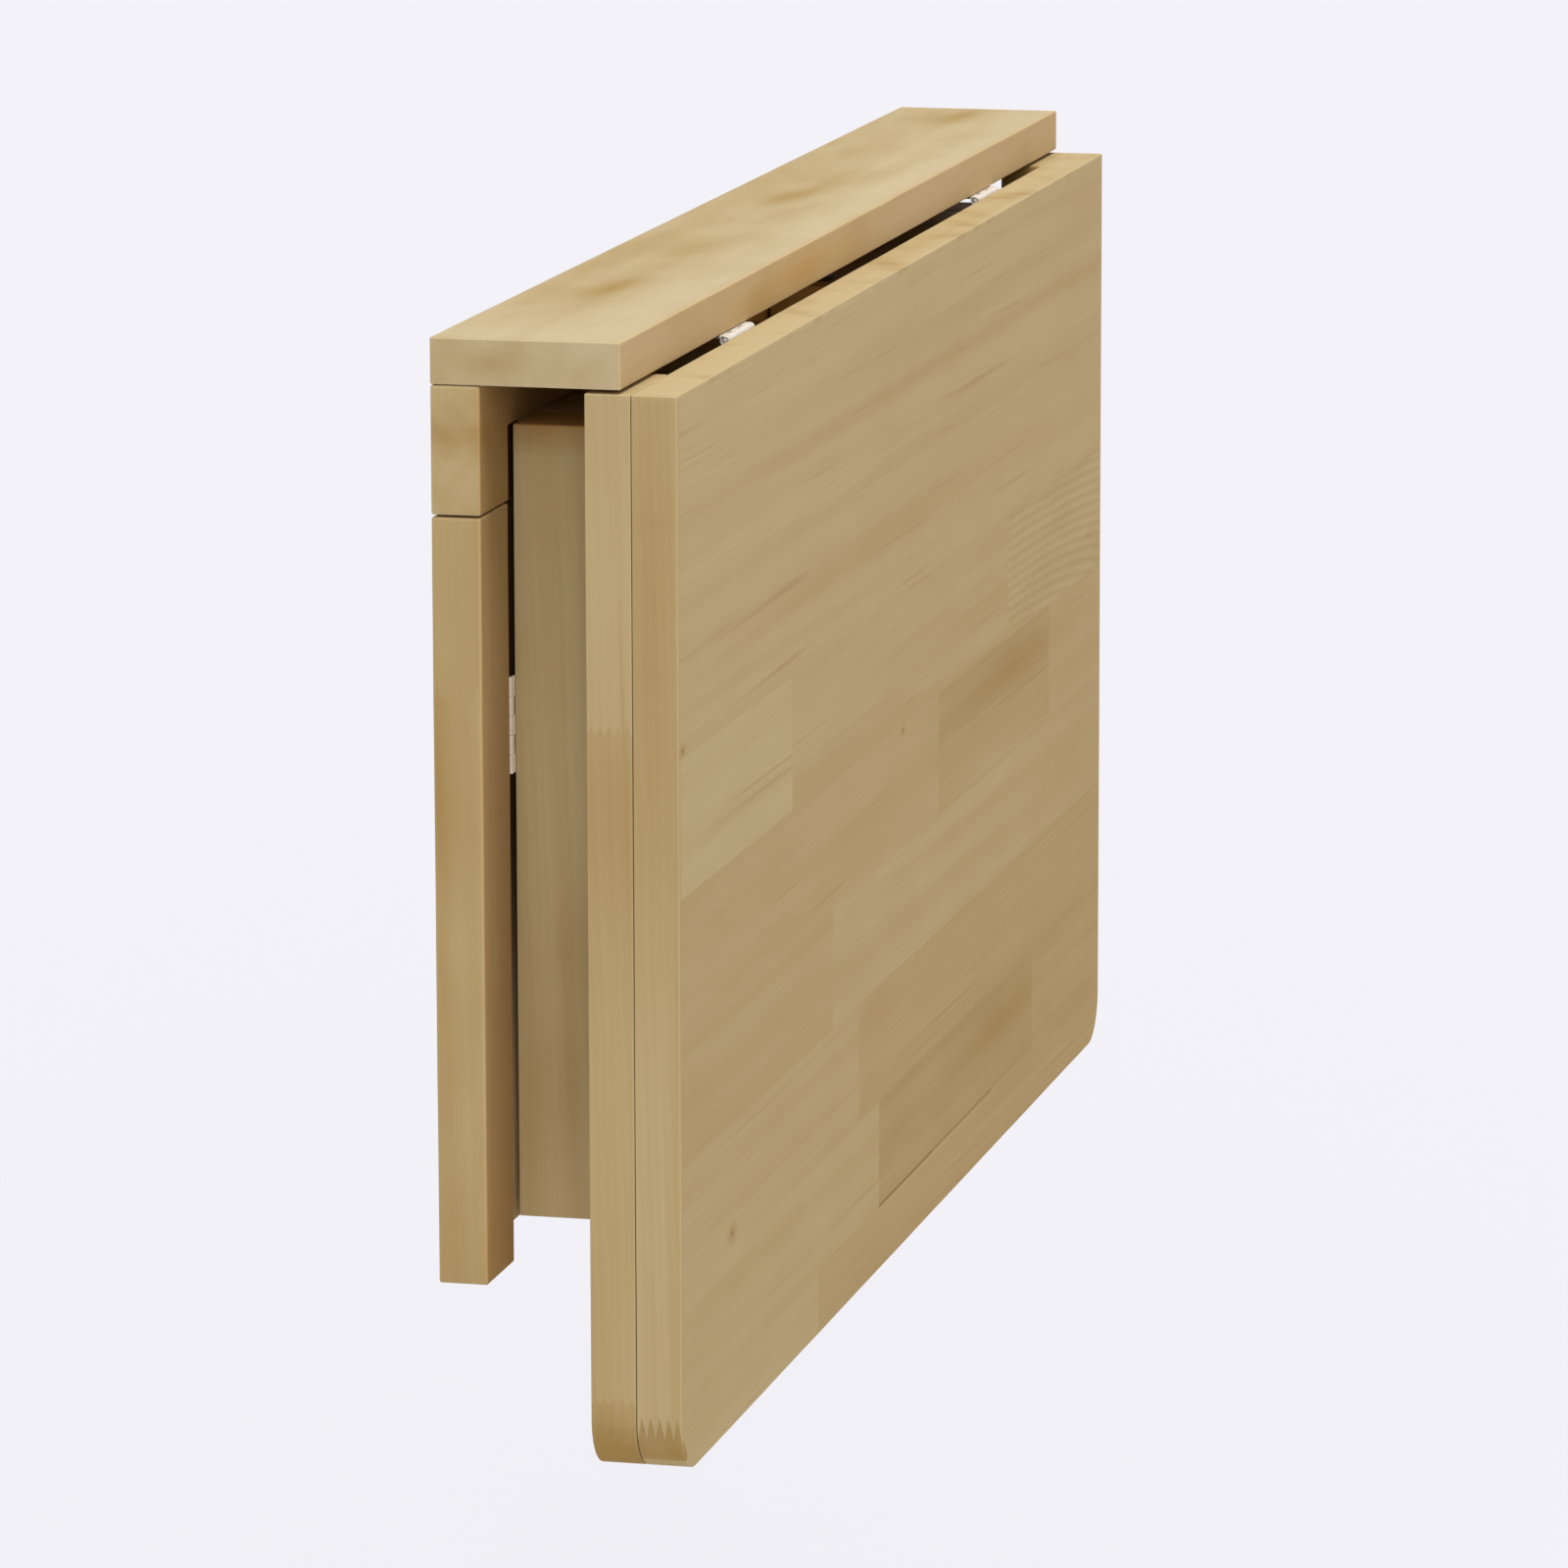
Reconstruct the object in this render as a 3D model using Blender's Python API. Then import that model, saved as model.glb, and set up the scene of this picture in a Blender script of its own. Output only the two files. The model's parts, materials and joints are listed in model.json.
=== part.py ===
"""Wall-mounted folding table of pine: a wall frame with a shelf, a drop leaf and two swing gates.

X runs along the wall, the wall is the plane Y = 0, the room lies towards -Y, and Z points up.
The origin is the middle of the back rail's wall face. The table is folded, with its leaf hanging.
An inset is measured from an end of the table along X, and a depth from the wall into the room.
"""

import math

import bmesh
import bpy
from mathutils import Matrix, Vector

# Driving dimensions in metres.
TABLE_LENGTH = 0.800
SHELF_DEPTH = 0.075
SHELF_THICKNESS = 0.018
FRAME_THICKNESS = 0.0195
RAIL_HEIGHT = 0.050
POST_WIDTH = 0.039
POST_HEIGHT = 0.3015
STRIP_WIDTH = 0.0137
STRIP_SETBACK = 0.0010
STRIP_DROP = 0.0017
LEAF_HEIGHT = 0.4235
LEAF_CORNER_RADIUS = 0.022
BATTEN_THICKNESS = 0.018
BATTEN_WIDTH = 0.056
FRONT_BATTEN_WIDTH = 0.045
GATE_LENGTH = 0.300
GATE_HEIGHT = 0.3137
GATE_THICKNESS = 0.032
STILE_WIDTH = 0.034
ARM_HEIGHT = 0.034
BRACE_WIDTH = 0.028
BRACE_FOOT = 0.018
BRACE_TIP = 0.020
PAD_RADIUS = 0.008
PAD_THICKNESS = 0.0019
PAD_INSET = 0.020
EDGE_ROUND = 0.0008

# Hinges, pins, screws and dowels.
KNUCKLE_RADIUS = 0.0020
PLATE_THICKNESS = 0.0011
PIN_RADIUS = 0.0011
HINGE_KNUCKLES = 5
LEAF_HINGE_LENGTH = 0.042
LEAF_HINGE_WIDTH = 0.020
LEAF_HINGE_INSETS = {"left": 0.1755, "right": 0.1640}
GATE_HINGE_LENGTH = 0.038
GATE_HINGE_WIDTH = 0.014
GATE_HINGE_DROP = 0.088
PLATE_SCREW_COUNT = 2
HINGE_SCREW_MARGIN = 0.0085
SCREW_HEAD_RADIUS = 0.0028
SCREW_HEAD_RIM = 0.0002
SCREW_HEAD_HEIGHT = 0.0016
SCREW_SHANK_RADIUS = 0.0014
SCREW_TIP = 0.0025
HINGE_SCREW_LENGTH = 0.013
DOWEL_RADIUS = 0.004
DOWEL_LENGTH = 0.024
DOWEL_CHAMFER = 0.0008
SHELF_DOWELS = 4
SHELF_DOWEL_INSET = 0.060
POST_DOWEL_SPREAD = 0.018
WALL_HOLE_RADIUS = 0.0036
WALL_HOLE_SINK = 0.0065
WALL_HOLE_INSET = 0.160
WALL_HOLES = 4

# Clearances.
JOINT_GAP = 0.0003
SEAT_GAP = 0.0003
REST_GAP = 0.0003
LEAF_DROP_GAP = 0.0016
RAISED_GAP = 0.0010
GATE_GAP = 0.0011
PIN_CLEARANCE = 0.00015
KNUCKLE_GAP = 0.0003
HOLE_CLEARANCE = 0.0003
NOTCH_CLEARANCE = 0.0005
CUT_MARGIN = 0.002

# Facets.
CORNER_STEPS = 8
EDGE_STEPS = 2
KNUCKLE_FACETS = 16
SCREW_FACETS = 10
DOWEL_FACETS = 12
PAD_FACETS = 24
SMOOTH_ANGLE = math.radians(35)

# Places worked out from the dimensions.
HALF = TABLE_LENGTH / 2
RAIL_TOP = RAIL_HEIGHT / 2
SHELF_BOTTOM = RAIL_TOP + JOINT_GAP
POST_TOP = -RAIL_HEIGHT / 2 - JOINT_GAP
POST_BOTTOM = POST_TOP - POST_HEIGHT
FRAME_MIDDLE = FRAME_THICKNESS / 2

# A hinge's axis lies this far from both faces that its plates are screwed to.
HINGE_SEAT = SEAT_GAP + KNUCKLE_RADIUS

# The leaf turns about the hinge axis until its board is level and flush with the shelf.
BOARD_THICKNESS = SHELF_THICKNESS
LEAF_TOP = SHELF_BOTTOM - LEAF_DROP_GAP
LEAF_BOTTOM = LEAF_TOP - LEAF_HEIGHT
BOARD_BACK = SHELF_DEPTH + RAISED_GAP + 2 * HINGE_SEAT - LEAF_DROP_GAP
BOARD_FRONT = BOARD_BACK + BOARD_THICKNESS
BATTEN_FRONT = BOARD_BACK - JOINT_GAP
BATTEN_BACK = BATTEN_FRONT - BATTEN_THICKNESS
LEAF_PIVOT_DEPTH = BOARD_BACK - HINGE_SEAT
LEAF_PIVOT_HEIGHT = SHELF_BOTTOM - HINGE_SEAT

# A gate swings out until its stile meets the post's front and its pad lies under the raised batten.
GATE_BACK = FRAME_THICKNESS + GATE_GAP
GATE_FRONT = GATE_BACK + GATE_THICKNESS
GATE_MIDDLE = (GATE_BACK + GATE_FRONT) / 2
GATE_TOP = SHELF_BOTTOM - BATTEN_THICKNESS - JOINT_GAP - REST_GAP - PAD_THICKNESS - SEAT_GAP
GATE_BOTTOM = GATE_TOP - GATE_HEIGHT
GATE_PIVOT_INSET = POST_WIDTH + HINGE_SEAT
GATE_PIVOT_DEPTH = GATE_BACK - HINGE_SEAT
GATE_HINGE_HEIGHT = POST_TOP - GATE_HINGE_DROP
GATE_START = GATE_PIVOT_INSET + FRAME_THICKNESS + REST_GAP - GATE_PIVOT_DEPTH
GATE_END = GATE_START + GATE_LENGTH
STILE_END = GATE_START + STILE_WIDTH
ARM_BOTTOM = GATE_TOP - ARM_HEIGHT

SIDES = {"left": -1, "right": 1}
TO_WALL = Vector((0, 1, 0))
TO_ROOM = Vector((0, -1, 0))
UP = Vector((0, 0, 1))
DOWN = Vector((0, 0, -1))
ALONG = Vector((1, 0, 0))

# Finishes: linear base colour, roughness and metallic value.
PINE = ((0.58, 0.42, 0.20), 0.42, 0.0)
BEECH_DOWEL = ((0.50, 0.33, 0.17), 0.70, 0.0)
STEEL = ((0.62, 0.62, 0.60), 0.32, 1.0)
FELT = ((0.10, 0.08, 0.06), 0.95, 0.0)


def place(inset_side, inset, depth, height):
    """Point at an inset from one end, a depth from the wall and a height."""
    return Vector((inset_side * (HALF - inset), -depth, height))


def spread(count, low, high):
    """Evenly spaced values from low to high, or their middle for a single one."""
    if count == 1:
        return [(low + high) / 2]
    return [low + (high - low) * step / (count - 1) for step in range(count)]


def add_object(name, shape, location, finish=None, pivot=None, turn=None):
    """Object made of a bmesh, with its own material, hung on a pivot if one is given."""
    bmesh.ops.recalc_face_normals(shape, faces=shape.faces)
    mesh = bpy.data.meshes.new(name)
    shape.to_mesh(mesh)
    shape.free()
    mesh.shade_smooth()
    mesh.set_sharp_from_angle(angle=SMOOTH_ANGLE)
    piece = bpy.data.objects.new(name, mesh)
    bpy.context.scene.collection.objects.link(piece)
    piece.location = location
    if turn is not None:
        piece.rotation_euler = turn.to_euler()
    if pivot is not None:
        piece.parent = pivot
        piece.matrix_parent_inverse = Matrix.Translation(-pivot.location)
    if finish is not None:
        mesh.materials.append(material(name + "_finish", *finish))
    return piece


def material(name, colour, roughness, metallic):
    """Principled material of one piece."""
    made = bpy.data.materials.new(name)
    made.use_nodes = True
    shader = made.node_tree.nodes["Principled BSDF"]
    shader.inputs["Base Color"].default_value = (*colour, 1.0)
    shader.inputs["Roughness"].default_value = roughness
    shader.inputs["Metallic"].default_value = metallic
    made.diffuse_color = (*colour, 1.0)
    return made


def add_pivot(name, location):
    """Empty on a joint's axis, which carries the pieces that turn about it."""
    pivot = bpy.data.objects.new(name, None)
    bpy.context.scene.collection.objects.link(pivot)
    pivot.location = location
    return pivot


def ease_edges(piece):
    """Sanded edges: a small round along every sharp edge."""
    bevel = piece.modifiers.new("eased_edges", "BEVEL")
    bevel.width = EDGE_ROUND
    bevel.segments = EDGE_STEPS
    bevel.limit_method = "ANGLE"
    bevel.angle_limit = SMOOTH_ANGLE


def slab(name, outline, back, front, finish, pivot=None):
    """Board with an outline of (x, height) points, from a depth at its back to one at its front."""
    xs = [x for x, _ in outline]
    heights = [height for _, height in outline]
    centre = Vector(((min(xs) + max(xs)) / 2, -(back + front) / 2, (min(heights) + max(heights)) / 2))
    shape = bmesh.new()
    corners = [shape.verts.new(Vector((x, -back, height)) - centre) for x, height in outline]
    face = shape.faces.new(corners)
    grown = bmesh.ops.extrude_face_region(shape, geom=[face])
    moved = [part for part in grown["geom"] if isinstance(part, bmesh.types.BMVert)]
    bmesh.ops.translate(shape, verts=moved, vec=TO_ROOM * (front - back))
    piece = add_object(name, shape, centre, finish, pivot)
    ease_edges(piece)
    return piece


def plank(name, x_range, depth_range, height_range, finish, pivot=None):
    """Square-cut length of timber between two values on each axis."""
    (left, right), (bottom, top) = sorted(x_range), sorted(height_range)
    outline = [(left, bottom), (right, bottom), (right, top), (left, top)]
    return slab(name, outline, *depth_range, finish, pivot)


def turn_solid(shape, profile, start, direction, facets):
    """Turned solid with flat ends: (radius, distance) rings along a direction from a start point."""
    frame = Matrix.Translation(start) @ direction.to_track_quat("Z", "Y").to_matrix().to_4x4()
    angles = [2 * math.pi * step / facets for step in range(facets)]
    rings = []
    for radius, distance in profile:
        points = [Vector((radius * math.cos(a), radius * math.sin(a), distance)) for a in angles]
        rings.append([shape.verts.new(frame @ point) for point in points])
    for lower, upper in zip(rings, rings[1:]):
        for step in range(facets):
            following = (step + 1) % facets
            shape.faces.new((lower[step], lower[following], upper[following], upper[step]))
    shape.faces.new(rings[0])
    shape.faces.new(rings[-1])


def turned(name, profile, seat, facets, finish, pivot=None):
    """One turned piece on its (start, direction) seat."""
    start, direction = seat
    shape = bmesh.new()
    turn_solid(shape, profile, Vector(), UP, facets)
    return add_object(name, shape, start, finish, pivot, direction.to_track_quat("Z", "Y"))


def turned_set(stem, profile, seats, facets, finish, pivot=None):
    """Like turned pieces, numbered from 1, one on each seat."""
    for number, seat in enumerate(seats, start=1):
        turned(f"{stem}_{number}", profile, seat, facets, finish, pivot)


def carve(piece, shape, purpose):
    """Cut a bmesh of closed shapes, given in world space, out of a piece."""
    cutter = add_object(f"cut_{piece.name}_{purpose}", shape, Vector())
    cutter.hide_render = True
    cutter.display_type = "WIRE"
    boolean = piece.modifiers.new(purpose, "BOOLEAN")
    boolean.operation = "DIFFERENCE"
    boolean.solver = "EXACT"
    boolean.object = cutter


def screw_profile(length):
    """Countersunk screw, from the middle of its head's face along the way it is driven."""
    return [
        (SCREW_HEAD_RADIUS, 0),
        (SCREW_HEAD_RADIUS, SCREW_HEAD_RIM),
        (SCREW_SHANK_RADIUS, SCREW_HEAD_HEIGHT),
        (SCREW_SHANK_RADIUS, length - SCREW_TIP),
        (SCREW_SHANK_RADIUS / 4, length),
    ]


def screw_hole_profile(length):
    """Room for a countersunk screw, open above its head."""
    head = SCREW_HEAD_RADIUS + HOLE_CLEARANCE
    shank = SCREW_SHANK_RADIUS + HOLE_CLEARANCE
    return [
        (head, -CUT_MARGIN),
        (head, SCREW_HEAD_RIM),
        (shank, SCREW_HEAD_HEIGHT),
        (shank, length + HOLE_CLEARANCE),
    ]


def dowel_profile():
    """Dowel with chamfered ends, half of it on each side of its start point."""
    half = DOWEL_LENGTH / 2
    slim = DOWEL_RADIUS - DOWEL_CHAMFER
    return [
        (slim, -half),
        (DOWEL_RADIUS, DOWEL_CHAMFER - half),
        (DOWEL_RADIUS, half - DOWEL_CHAMFER),
        (slim, half),
    ]


def dowel_hole_profile():
    """Room for a dowel in the two pieces that it joins."""
    reach = DOWEL_LENGTH / 2 + HOLE_CLEARANCE
    radius = DOWEL_RADIUS + HOLE_CLEARANCE
    return [(radius, -reach), (radius, reach)]


def drill(piece, profile, seats, facets, purpose):
    """Cut the same turned hole at each seat."""
    shape = bmesh.new()
    for start, direction in seats:
        turn_solid(shape, profile, start, direction, facets)
    carve(piece, shape, purpose)


def arc(centre, start_angle, stop_angle):
    """Points of the leaf's round corner, as (x, height), from one angle in degrees to another."""
    x, height = centre
    angles = [math.radians(value) for value in spread(CORNER_STEPS + 1, start_angle, stop_angle)]
    radius = LEAF_CORNER_RADIUS
    return [(x + radius * math.cos(a), height + radius * math.sin(a)) for a in angles]


def hinge_half(name, axis_point, plate_way, seat_way, size, odd, wood, pivot=None):
    """Half of a butt hinge: a plate that runs off its knuckles, screwed to a piece of wood.

    The plate leaves the axis along plate_way and its back faces seat_way. The half has the odd
    or the even ones of the knuckles.
    """
    length, width = size
    axis = plate_way.cross(seat_way)
    frame = Matrix((plate_way, seat_way, axis)).transposed()
    radius = KNUCKLE_RADIUS
    inner = radius - PLATE_THICKNESS
    stop = math.asin(inner / radius) + 2 * math.pi
    turns = spread(KNUCKLE_FACETS, math.pi / 2, stop)
    outline = [(radius * math.cos(a), radius * math.sin(a)) for a in turns]
    outline += [(width, inner), (width, radius)]

    shape = bmesh.new()
    face = shape.faces.new([shape.verts.new((x, y, -length / 2)) for x, y in outline])
    grown = bmesh.ops.extrude_face_region(shape, geom=[face])
    moved = [part for part in grown["geom"] if isinstance(part, bmesh.types.BMVert)]
    bmesh.ops.translate(shape, verts=moved, vec=UP * length)
    plate = add_object(f"{name}_plate", shape, axis_point, STEEL, pivot, frame)

    pitch = length / HINGE_KNUCKLES
    gaps = bmesh.new()
    for knuckle in range(HINGE_KNUCKLES):
        if (knuckle % 2 == 1) == odd:
            continue
        low = -length / 2 + knuckle * pitch - KNUCKLE_GAP / 2
        high = low + pitch + KNUCKLE_GAP
        if knuckle == 0:
            low -= CUT_MARGIN
        if knuckle == HINGE_KNUCKLES - 1:
            high += CUT_MARGIN
        reach = radius + KNUCKLE_GAP
        block = bmesh.ops.create_cube(gaps, size=1.0)["verts"]
        bmesh.ops.scale(gaps, vec=(2 * reach, 2 * reach, high - low), verts=block)
        bmesh.ops.translate(gaps, vec=UP * (low + high) / 2, verts=block)
    bmesh.ops.transform(gaps, matrix=Matrix.Translation(axis_point) @ frame.to_4x4(), verts=gaps.verts)
    carve(plate, gaps, "knuckle_gaps")

    bore_end = length / 2 + CUT_MARGIN
    bore_radius = PIN_RADIUS + PIN_CLEARANCE
    bore = [(bore_radius, -bore_end), (bore_radius, bore_end)]
    drill(plate, bore, [(axis_point, axis)], KNUCKLE_FACETS, "bore")

    reach = (radius + KNUCKLE_GAP + width) / 2
    margin = length / 2 - HINGE_SCREW_MARGIN
    seats = [
        (axis_point + plate_way * reach + axis * offset + seat_way * inner, seat_way)
        for offset in spread(PLATE_SCREW_COUNT, -margin, margin)
    ]
    hole = screw_hole_profile(HINGE_SCREW_LENGTH)
    drill(plate, hole, seats, SCREW_FACETS, "screw_holes")
    drill(wood, hole, seats, SCREW_FACETS, f"{name}_screw_holes")
    turned_set(f"{name}_screw", screw_profile(HINGE_SCREW_LENGTH), seats, SCREW_FACETS, STEEL, pivot)


def hinge_pin(name, axis_point, axis, length):
    """Pin through all the knuckles of a hinge."""
    profile = [(PIN_RADIUS, -length / 2), (PIN_RADIUS, length / 2)]
    turned(name, profile, (axis_point, axis), KNUCKLE_FACETS, STEEL)


def build_wall_frame():
    """Shelf, rail and posts, with their dowels and the holes for the wall screws."""
    depths = (0, FRAME_THICKNESS)
    shelf = plank("top_shelf", (-HALF, HALF), (0, SHELF_DEPTH),
                  (SHELF_BOTTOM, SHELF_BOTTOM + SHELF_THICKNESS), PINE)
    rail = plank("back_rail", (-HALF, HALF), depths, (-RAIL_HEIGHT / 2, RAIL_TOP), PINE)

    dowel_reach = HALF - SHELF_DOWEL_INSET
    shelf_seats = [
        (Vector((x, -FRAME_MIDDLE, RAIL_TOP + JOINT_GAP / 2)), UP)
        for x in spread(SHELF_DOWELS, -dowel_reach, dowel_reach)
    ]
    turned_set("shelf_dowel", dowel_profile(), shelf_seats, DOWEL_FACETS, BEECH_DOWEL)
    drill(shelf, dowel_hole_profile(), shelf_seats, DOWEL_FACETS, "dowel_holes")

    posts = {}
    all_post_seats = []
    for side_name, side in SIDES.items():
        span = (side * HALF, side * (HALF - POST_WIDTH))
        posts[side_name] = plank(f"{side_name}_post", span, depths, (POST_BOTTOM, POST_TOP), PINE)
        post_seats = [
            (place(side, POST_WIDTH / 2 + offset, FRAME_MIDDLE, POST_TOP + JOINT_GAP / 2), UP)
            for offset in (-POST_DOWEL_SPREAD / 2, POST_DOWEL_SPREAD / 2)
        ]
        turned_set(f"{side_name}_post_dowel", dowel_profile(), post_seats, DOWEL_FACETS, BEECH_DOWEL)
        drill(posts[side_name], dowel_hole_profile(), post_seats, DOWEL_FACETS, "dowel_holes")
        all_post_seats += post_seats
    drill(rail, dowel_hole_profile(), shelf_seats + all_post_seats, DOWEL_FACETS, "dowel_holes")

    sink_depth = WALL_HOLE_SINK - WALL_HOLE_RADIUS
    wall_hole = [
        (WALL_HOLE_SINK, -CUT_MARGIN),
        (WALL_HOLE_SINK, 0),
        (WALL_HOLE_RADIUS, sink_depth),
        (WALL_HOLE_RADIUS, FRAME_THICKNESS + CUT_MARGIN),
    ]
    hole_reach = HALF - WALL_HOLE_INSET
    wall_seats = [
        (Vector((x, -FRAME_THICKNESS, 0)), TO_WALL) for x in spread(WALL_HOLES, -hole_reach, hole_reach)
    ]
    drill(rail, wall_hole, wall_seats, DOWEL_FACETS, "wall_holes")
    return shelf, posts


def build_strip(side_name, side):
    """Strip glued to a post's inner side, which closes the slit behind the folded gate's stile.

    A notch leaves room for the gate hinge, with a web behind it along the wall.
    """
    start = POST_WIDTH + JOINT_GAP
    front = FRAME_THICKNESS - STRIP_SETBACK
    span = (side * (HALF - start), side * (HALF - start - STRIP_WIDTH))
    heights = (GATE_BOTTOM - STRIP_DROP, POST_TOP)
    strip = plank(f"{side_name}_post_strip", span, (0, front), heights, PINE)

    web = GATE_PIVOT_DEPTH - GATE_HINGE_WIDTH - NOTCH_CLEARANCE
    size = (
        STRIP_WIDTH + 2 * CUT_MARGIN,
        front - web + CUT_MARGIN,
        GATE_HINGE_LENGTH + 2 * NOTCH_CLEARANCE,
    )
    centre = place(side, start + STRIP_WIDTH / 2, web + size[1] / 2, GATE_HINGE_HEIGHT)
    notch = bmesh.new()
    block = bmesh.ops.create_cube(notch, size=1.0)["verts"]
    bmesh.ops.scale(notch, vec=size, verts=block)
    bmesh.ops.translate(notch, vec=centre, verts=block)
    carve(strip, notch, "hinge_notch")


def build_leaf(pivot):
    """Drop leaf: a board with round lower corners and battens behind three of its edges."""
    radius = LEAF_CORNER_RADIUS
    corner_height = LEAF_BOTTOM + radius
    outline = [(-HALF, LEAF_TOP), *arc((radius - HALF, corner_height), 180, 270)]
    outline += [*arc((HALF - radius, corner_height), 270, 360), (HALF, LEAF_TOP)]
    board = slab("leaf_board", outline, BOARD_BACK, BOARD_FRONT, PINE, pivot)

    for side_name, side in SIDES.items():
        inner = side * (HALF - BATTEN_WIDTH)
        if side < 0:
            corner = arc((radius - HALF, corner_height), 180, 270)
        else:
            corner = arc((HALF - radius, corner_height), 360, 270)
        outline = [(inner, LEAF_TOP), (side * HALF, LEAF_TOP), *corner, (inner, LEAF_BOTTOM)]
        slab(f"leaf_{side_name}_batten", outline, BATTEN_BACK, BATTEN_FRONT, PINE, pivot)

    reach = HALF - BATTEN_WIDTH - JOINT_GAP
    plank("leaf_front_batten", (-reach, reach), (BATTEN_BACK, BATTEN_FRONT),
          (LEAF_BOTTOM, LEAF_BOTTOM + FRONT_BATTEN_WIDTH), PINE, pivot)
    return board


def brace_outline(side):
    """Brace from the stile's foot to the arm's tip, cut to meet both, as (x, height) points."""
    start_inset = STILE_END + JOINT_GAP
    end_inset = GATE_END - BRACE_TIP
    low = GATE_BOTTOM + BRACE_FOOT
    high = ARM_BOTTOM - JOINT_GAP
    run, rise = end_inset - start_inset, high - low
    slant = math.hypot(run, rise)
    points = [
        (start_inset, low),
        (end_inset, high),
        (end_inset - BRACE_WIDTH * slant / rise, high),
        (start_inset, low + BRACE_WIDTH * slant / run),
    ]
    return [(side * (HALF - inset), height) for inset, height in points]


def build_gate(side_name, side, pivot):
    """Swing gate: stile, arm and brace dowelled together, with a felt pad on the arm."""
    def span(start, end):
        return (side * (HALF - start), side * (HALF - end))

    depths = (GATE_BACK, GATE_FRONT)
    stile = plank(f"{side_name}_gate_stile", span(GATE_START, STILE_END), depths,
                  (GATE_BOTTOM, GATE_TOP), PINE, pivot)
    arm = plank(f"{side_name}_gate_arm", span(STILE_END + JOINT_GAP, GATE_END), depths,
                (ARM_BOTTOM, GATE_TOP), PINE, pivot)
    outline = brace_outline(side)
    brace = slab(f"{side_name}_gate_brace", outline, *depths, PINE, pivot)

    joint_inset = STILE_END + JOINT_GAP / 2
    (_, foot_low), (tip_outer, _), (tip_inner, _), (_, foot_high) = outline
    arm_seat = (place(side, joint_inset, GATE_MIDDLE, (ARM_BOTTOM + GATE_TOP) / 2), ALONG)
    foot_seat = (place(side, joint_inset, GATE_MIDDLE, (foot_low + foot_high) / 2), ALONG)
    tip_seat = (Vector(((tip_inner + tip_outer) / 2, -GATE_MIDDLE, ARM_BOTTOM - JOINT_GAP / 2)), UP)
    hole = dowel_hole_profile()
    drill(stile, hole, [arm_seat, foot_seat], DOWEL_FACETS, "dowel_holes")
    drill(arm, hole, [arm_seat, tip_seat], DOWEL_FACETS, "dowel_holes")
    drill(brace, hole, [foot_seat, tip_seat], DOWEL_FACETS, "dowel_holes")
    for joint, seat in {"arm": arm_seat, "foot": foot_seat, "tip": tip_seat}.items():
        name = f"{side_name}_gate_{joint}_dowel"
        turned(name, dowel_profile(), seat, DOWEL_FACETS, BEECH_DOWEL, pivot)

    pad_seat = (place(side, GATE_END - PAD_INSET, GATE_MIDDLE, GATE_TOP + SEAT_GAP), UP)
    pad_profile = [(PAD_RADIUS, 0), (PAD_RADIUS, PAD_THICKNESS)]
    turned(f"{side_name}_gate_pad", pad_profile, pad_seat, PAD_FACETS, FELT, pivot)
    return stile


def build_leaf_hinges(shelf, board, pivot):
    """Two butt hinges under the shelf's front edge."""
    size = (LEAF_HINGE_LENGTH, LEAF_HINGE_WIDTH)
    for side_name, side in SIDES.items():
        stem = f"{side_name}_leaf_hinge"
        point = place(side, LEAF_HINGE_INSETS[side_name], LEAF_PIVOT_DEPTH, LEAF_PIVOT_HEIGHT)
        hinge_half(f"{stem}_shelf", point, TO_WALL, UP, size, False, shelf)
        hinge_half(f"{stem}_board", point, DOWN, TO_ROOM, size, True, board, pivot)
        hinge_pin(f"{stem}_pin", point, ALONG, LEAF_HINGE_LENGTH)


def build_gate_hinge(side_name, side, post, stile, pivot):
    """Butt hinge between a post's inner side and the back of its gate's stile."""
    size = (GATE_HINGE_LENGTH, GATE_HINGE_WIDTH)
    stem = f"{side_name}_gate_hinge"
    hinge_half(f"{stem}_post", pivot.location, TO_WALL, ALONG * side, size, False, post)
    hinge_half(f"{stem}_stile", pivot.location, ALONG * -side, TO_ROOM, size, True, stile, pivot)
    hinge_pin(f"{stem}_pin", pivot.location, UP, GATE_HINGE_LENGTH)


def main():
    """Clear the scene and build the folded table."""
    for old in list(bpy.data.objects):
        bpy.data.objects.remove(old, do_unlink=True)

    leaf_pivot = add_pivot("leaf_pivot", Vector((0, -LEAF_PIVOT_DEPTH, LEAF_PIVOT_HEIGHT)))
    shelf, posts = build_wall_frame()
    board = build_leaf(leaf_pivot)
    build_leaf_hinges(shelf, board, leaf_pivot)
    for side_name, side in SIDES.items():
        gate_axis = place(side, GATE_PIVOT_INSET, GATE_PIVOT_DEPTH, GATE_HINGE_HEIGHT)
        gate_pivot = add_pivot(f"{side_name}_gate_pivot", gate_axis)
        stile = build_gate(side_name, side, gate_pivot)
        build_gate_hinge(side_name, side, posts[side_name], stile, gate_pivot)
        build_strip(side_name, side)


main()
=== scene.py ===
"""Looks of the folding wall table: sanded pine boards, steel hinges, felt pads, studio and camera.

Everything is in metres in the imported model's frame: X along the wall, Y into the wall, Z up.
Each finished piece stands for one solid of the frame and takes its place from that solid's box.
"""

from __future__ import annotations

import json
import logging
import math
from dataclasses import dataclass, field, replace
from enum import Enum
from typing import Any, Callable

import bpy
import numpy as np
from mathutils import Matrix, Vector

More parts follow.
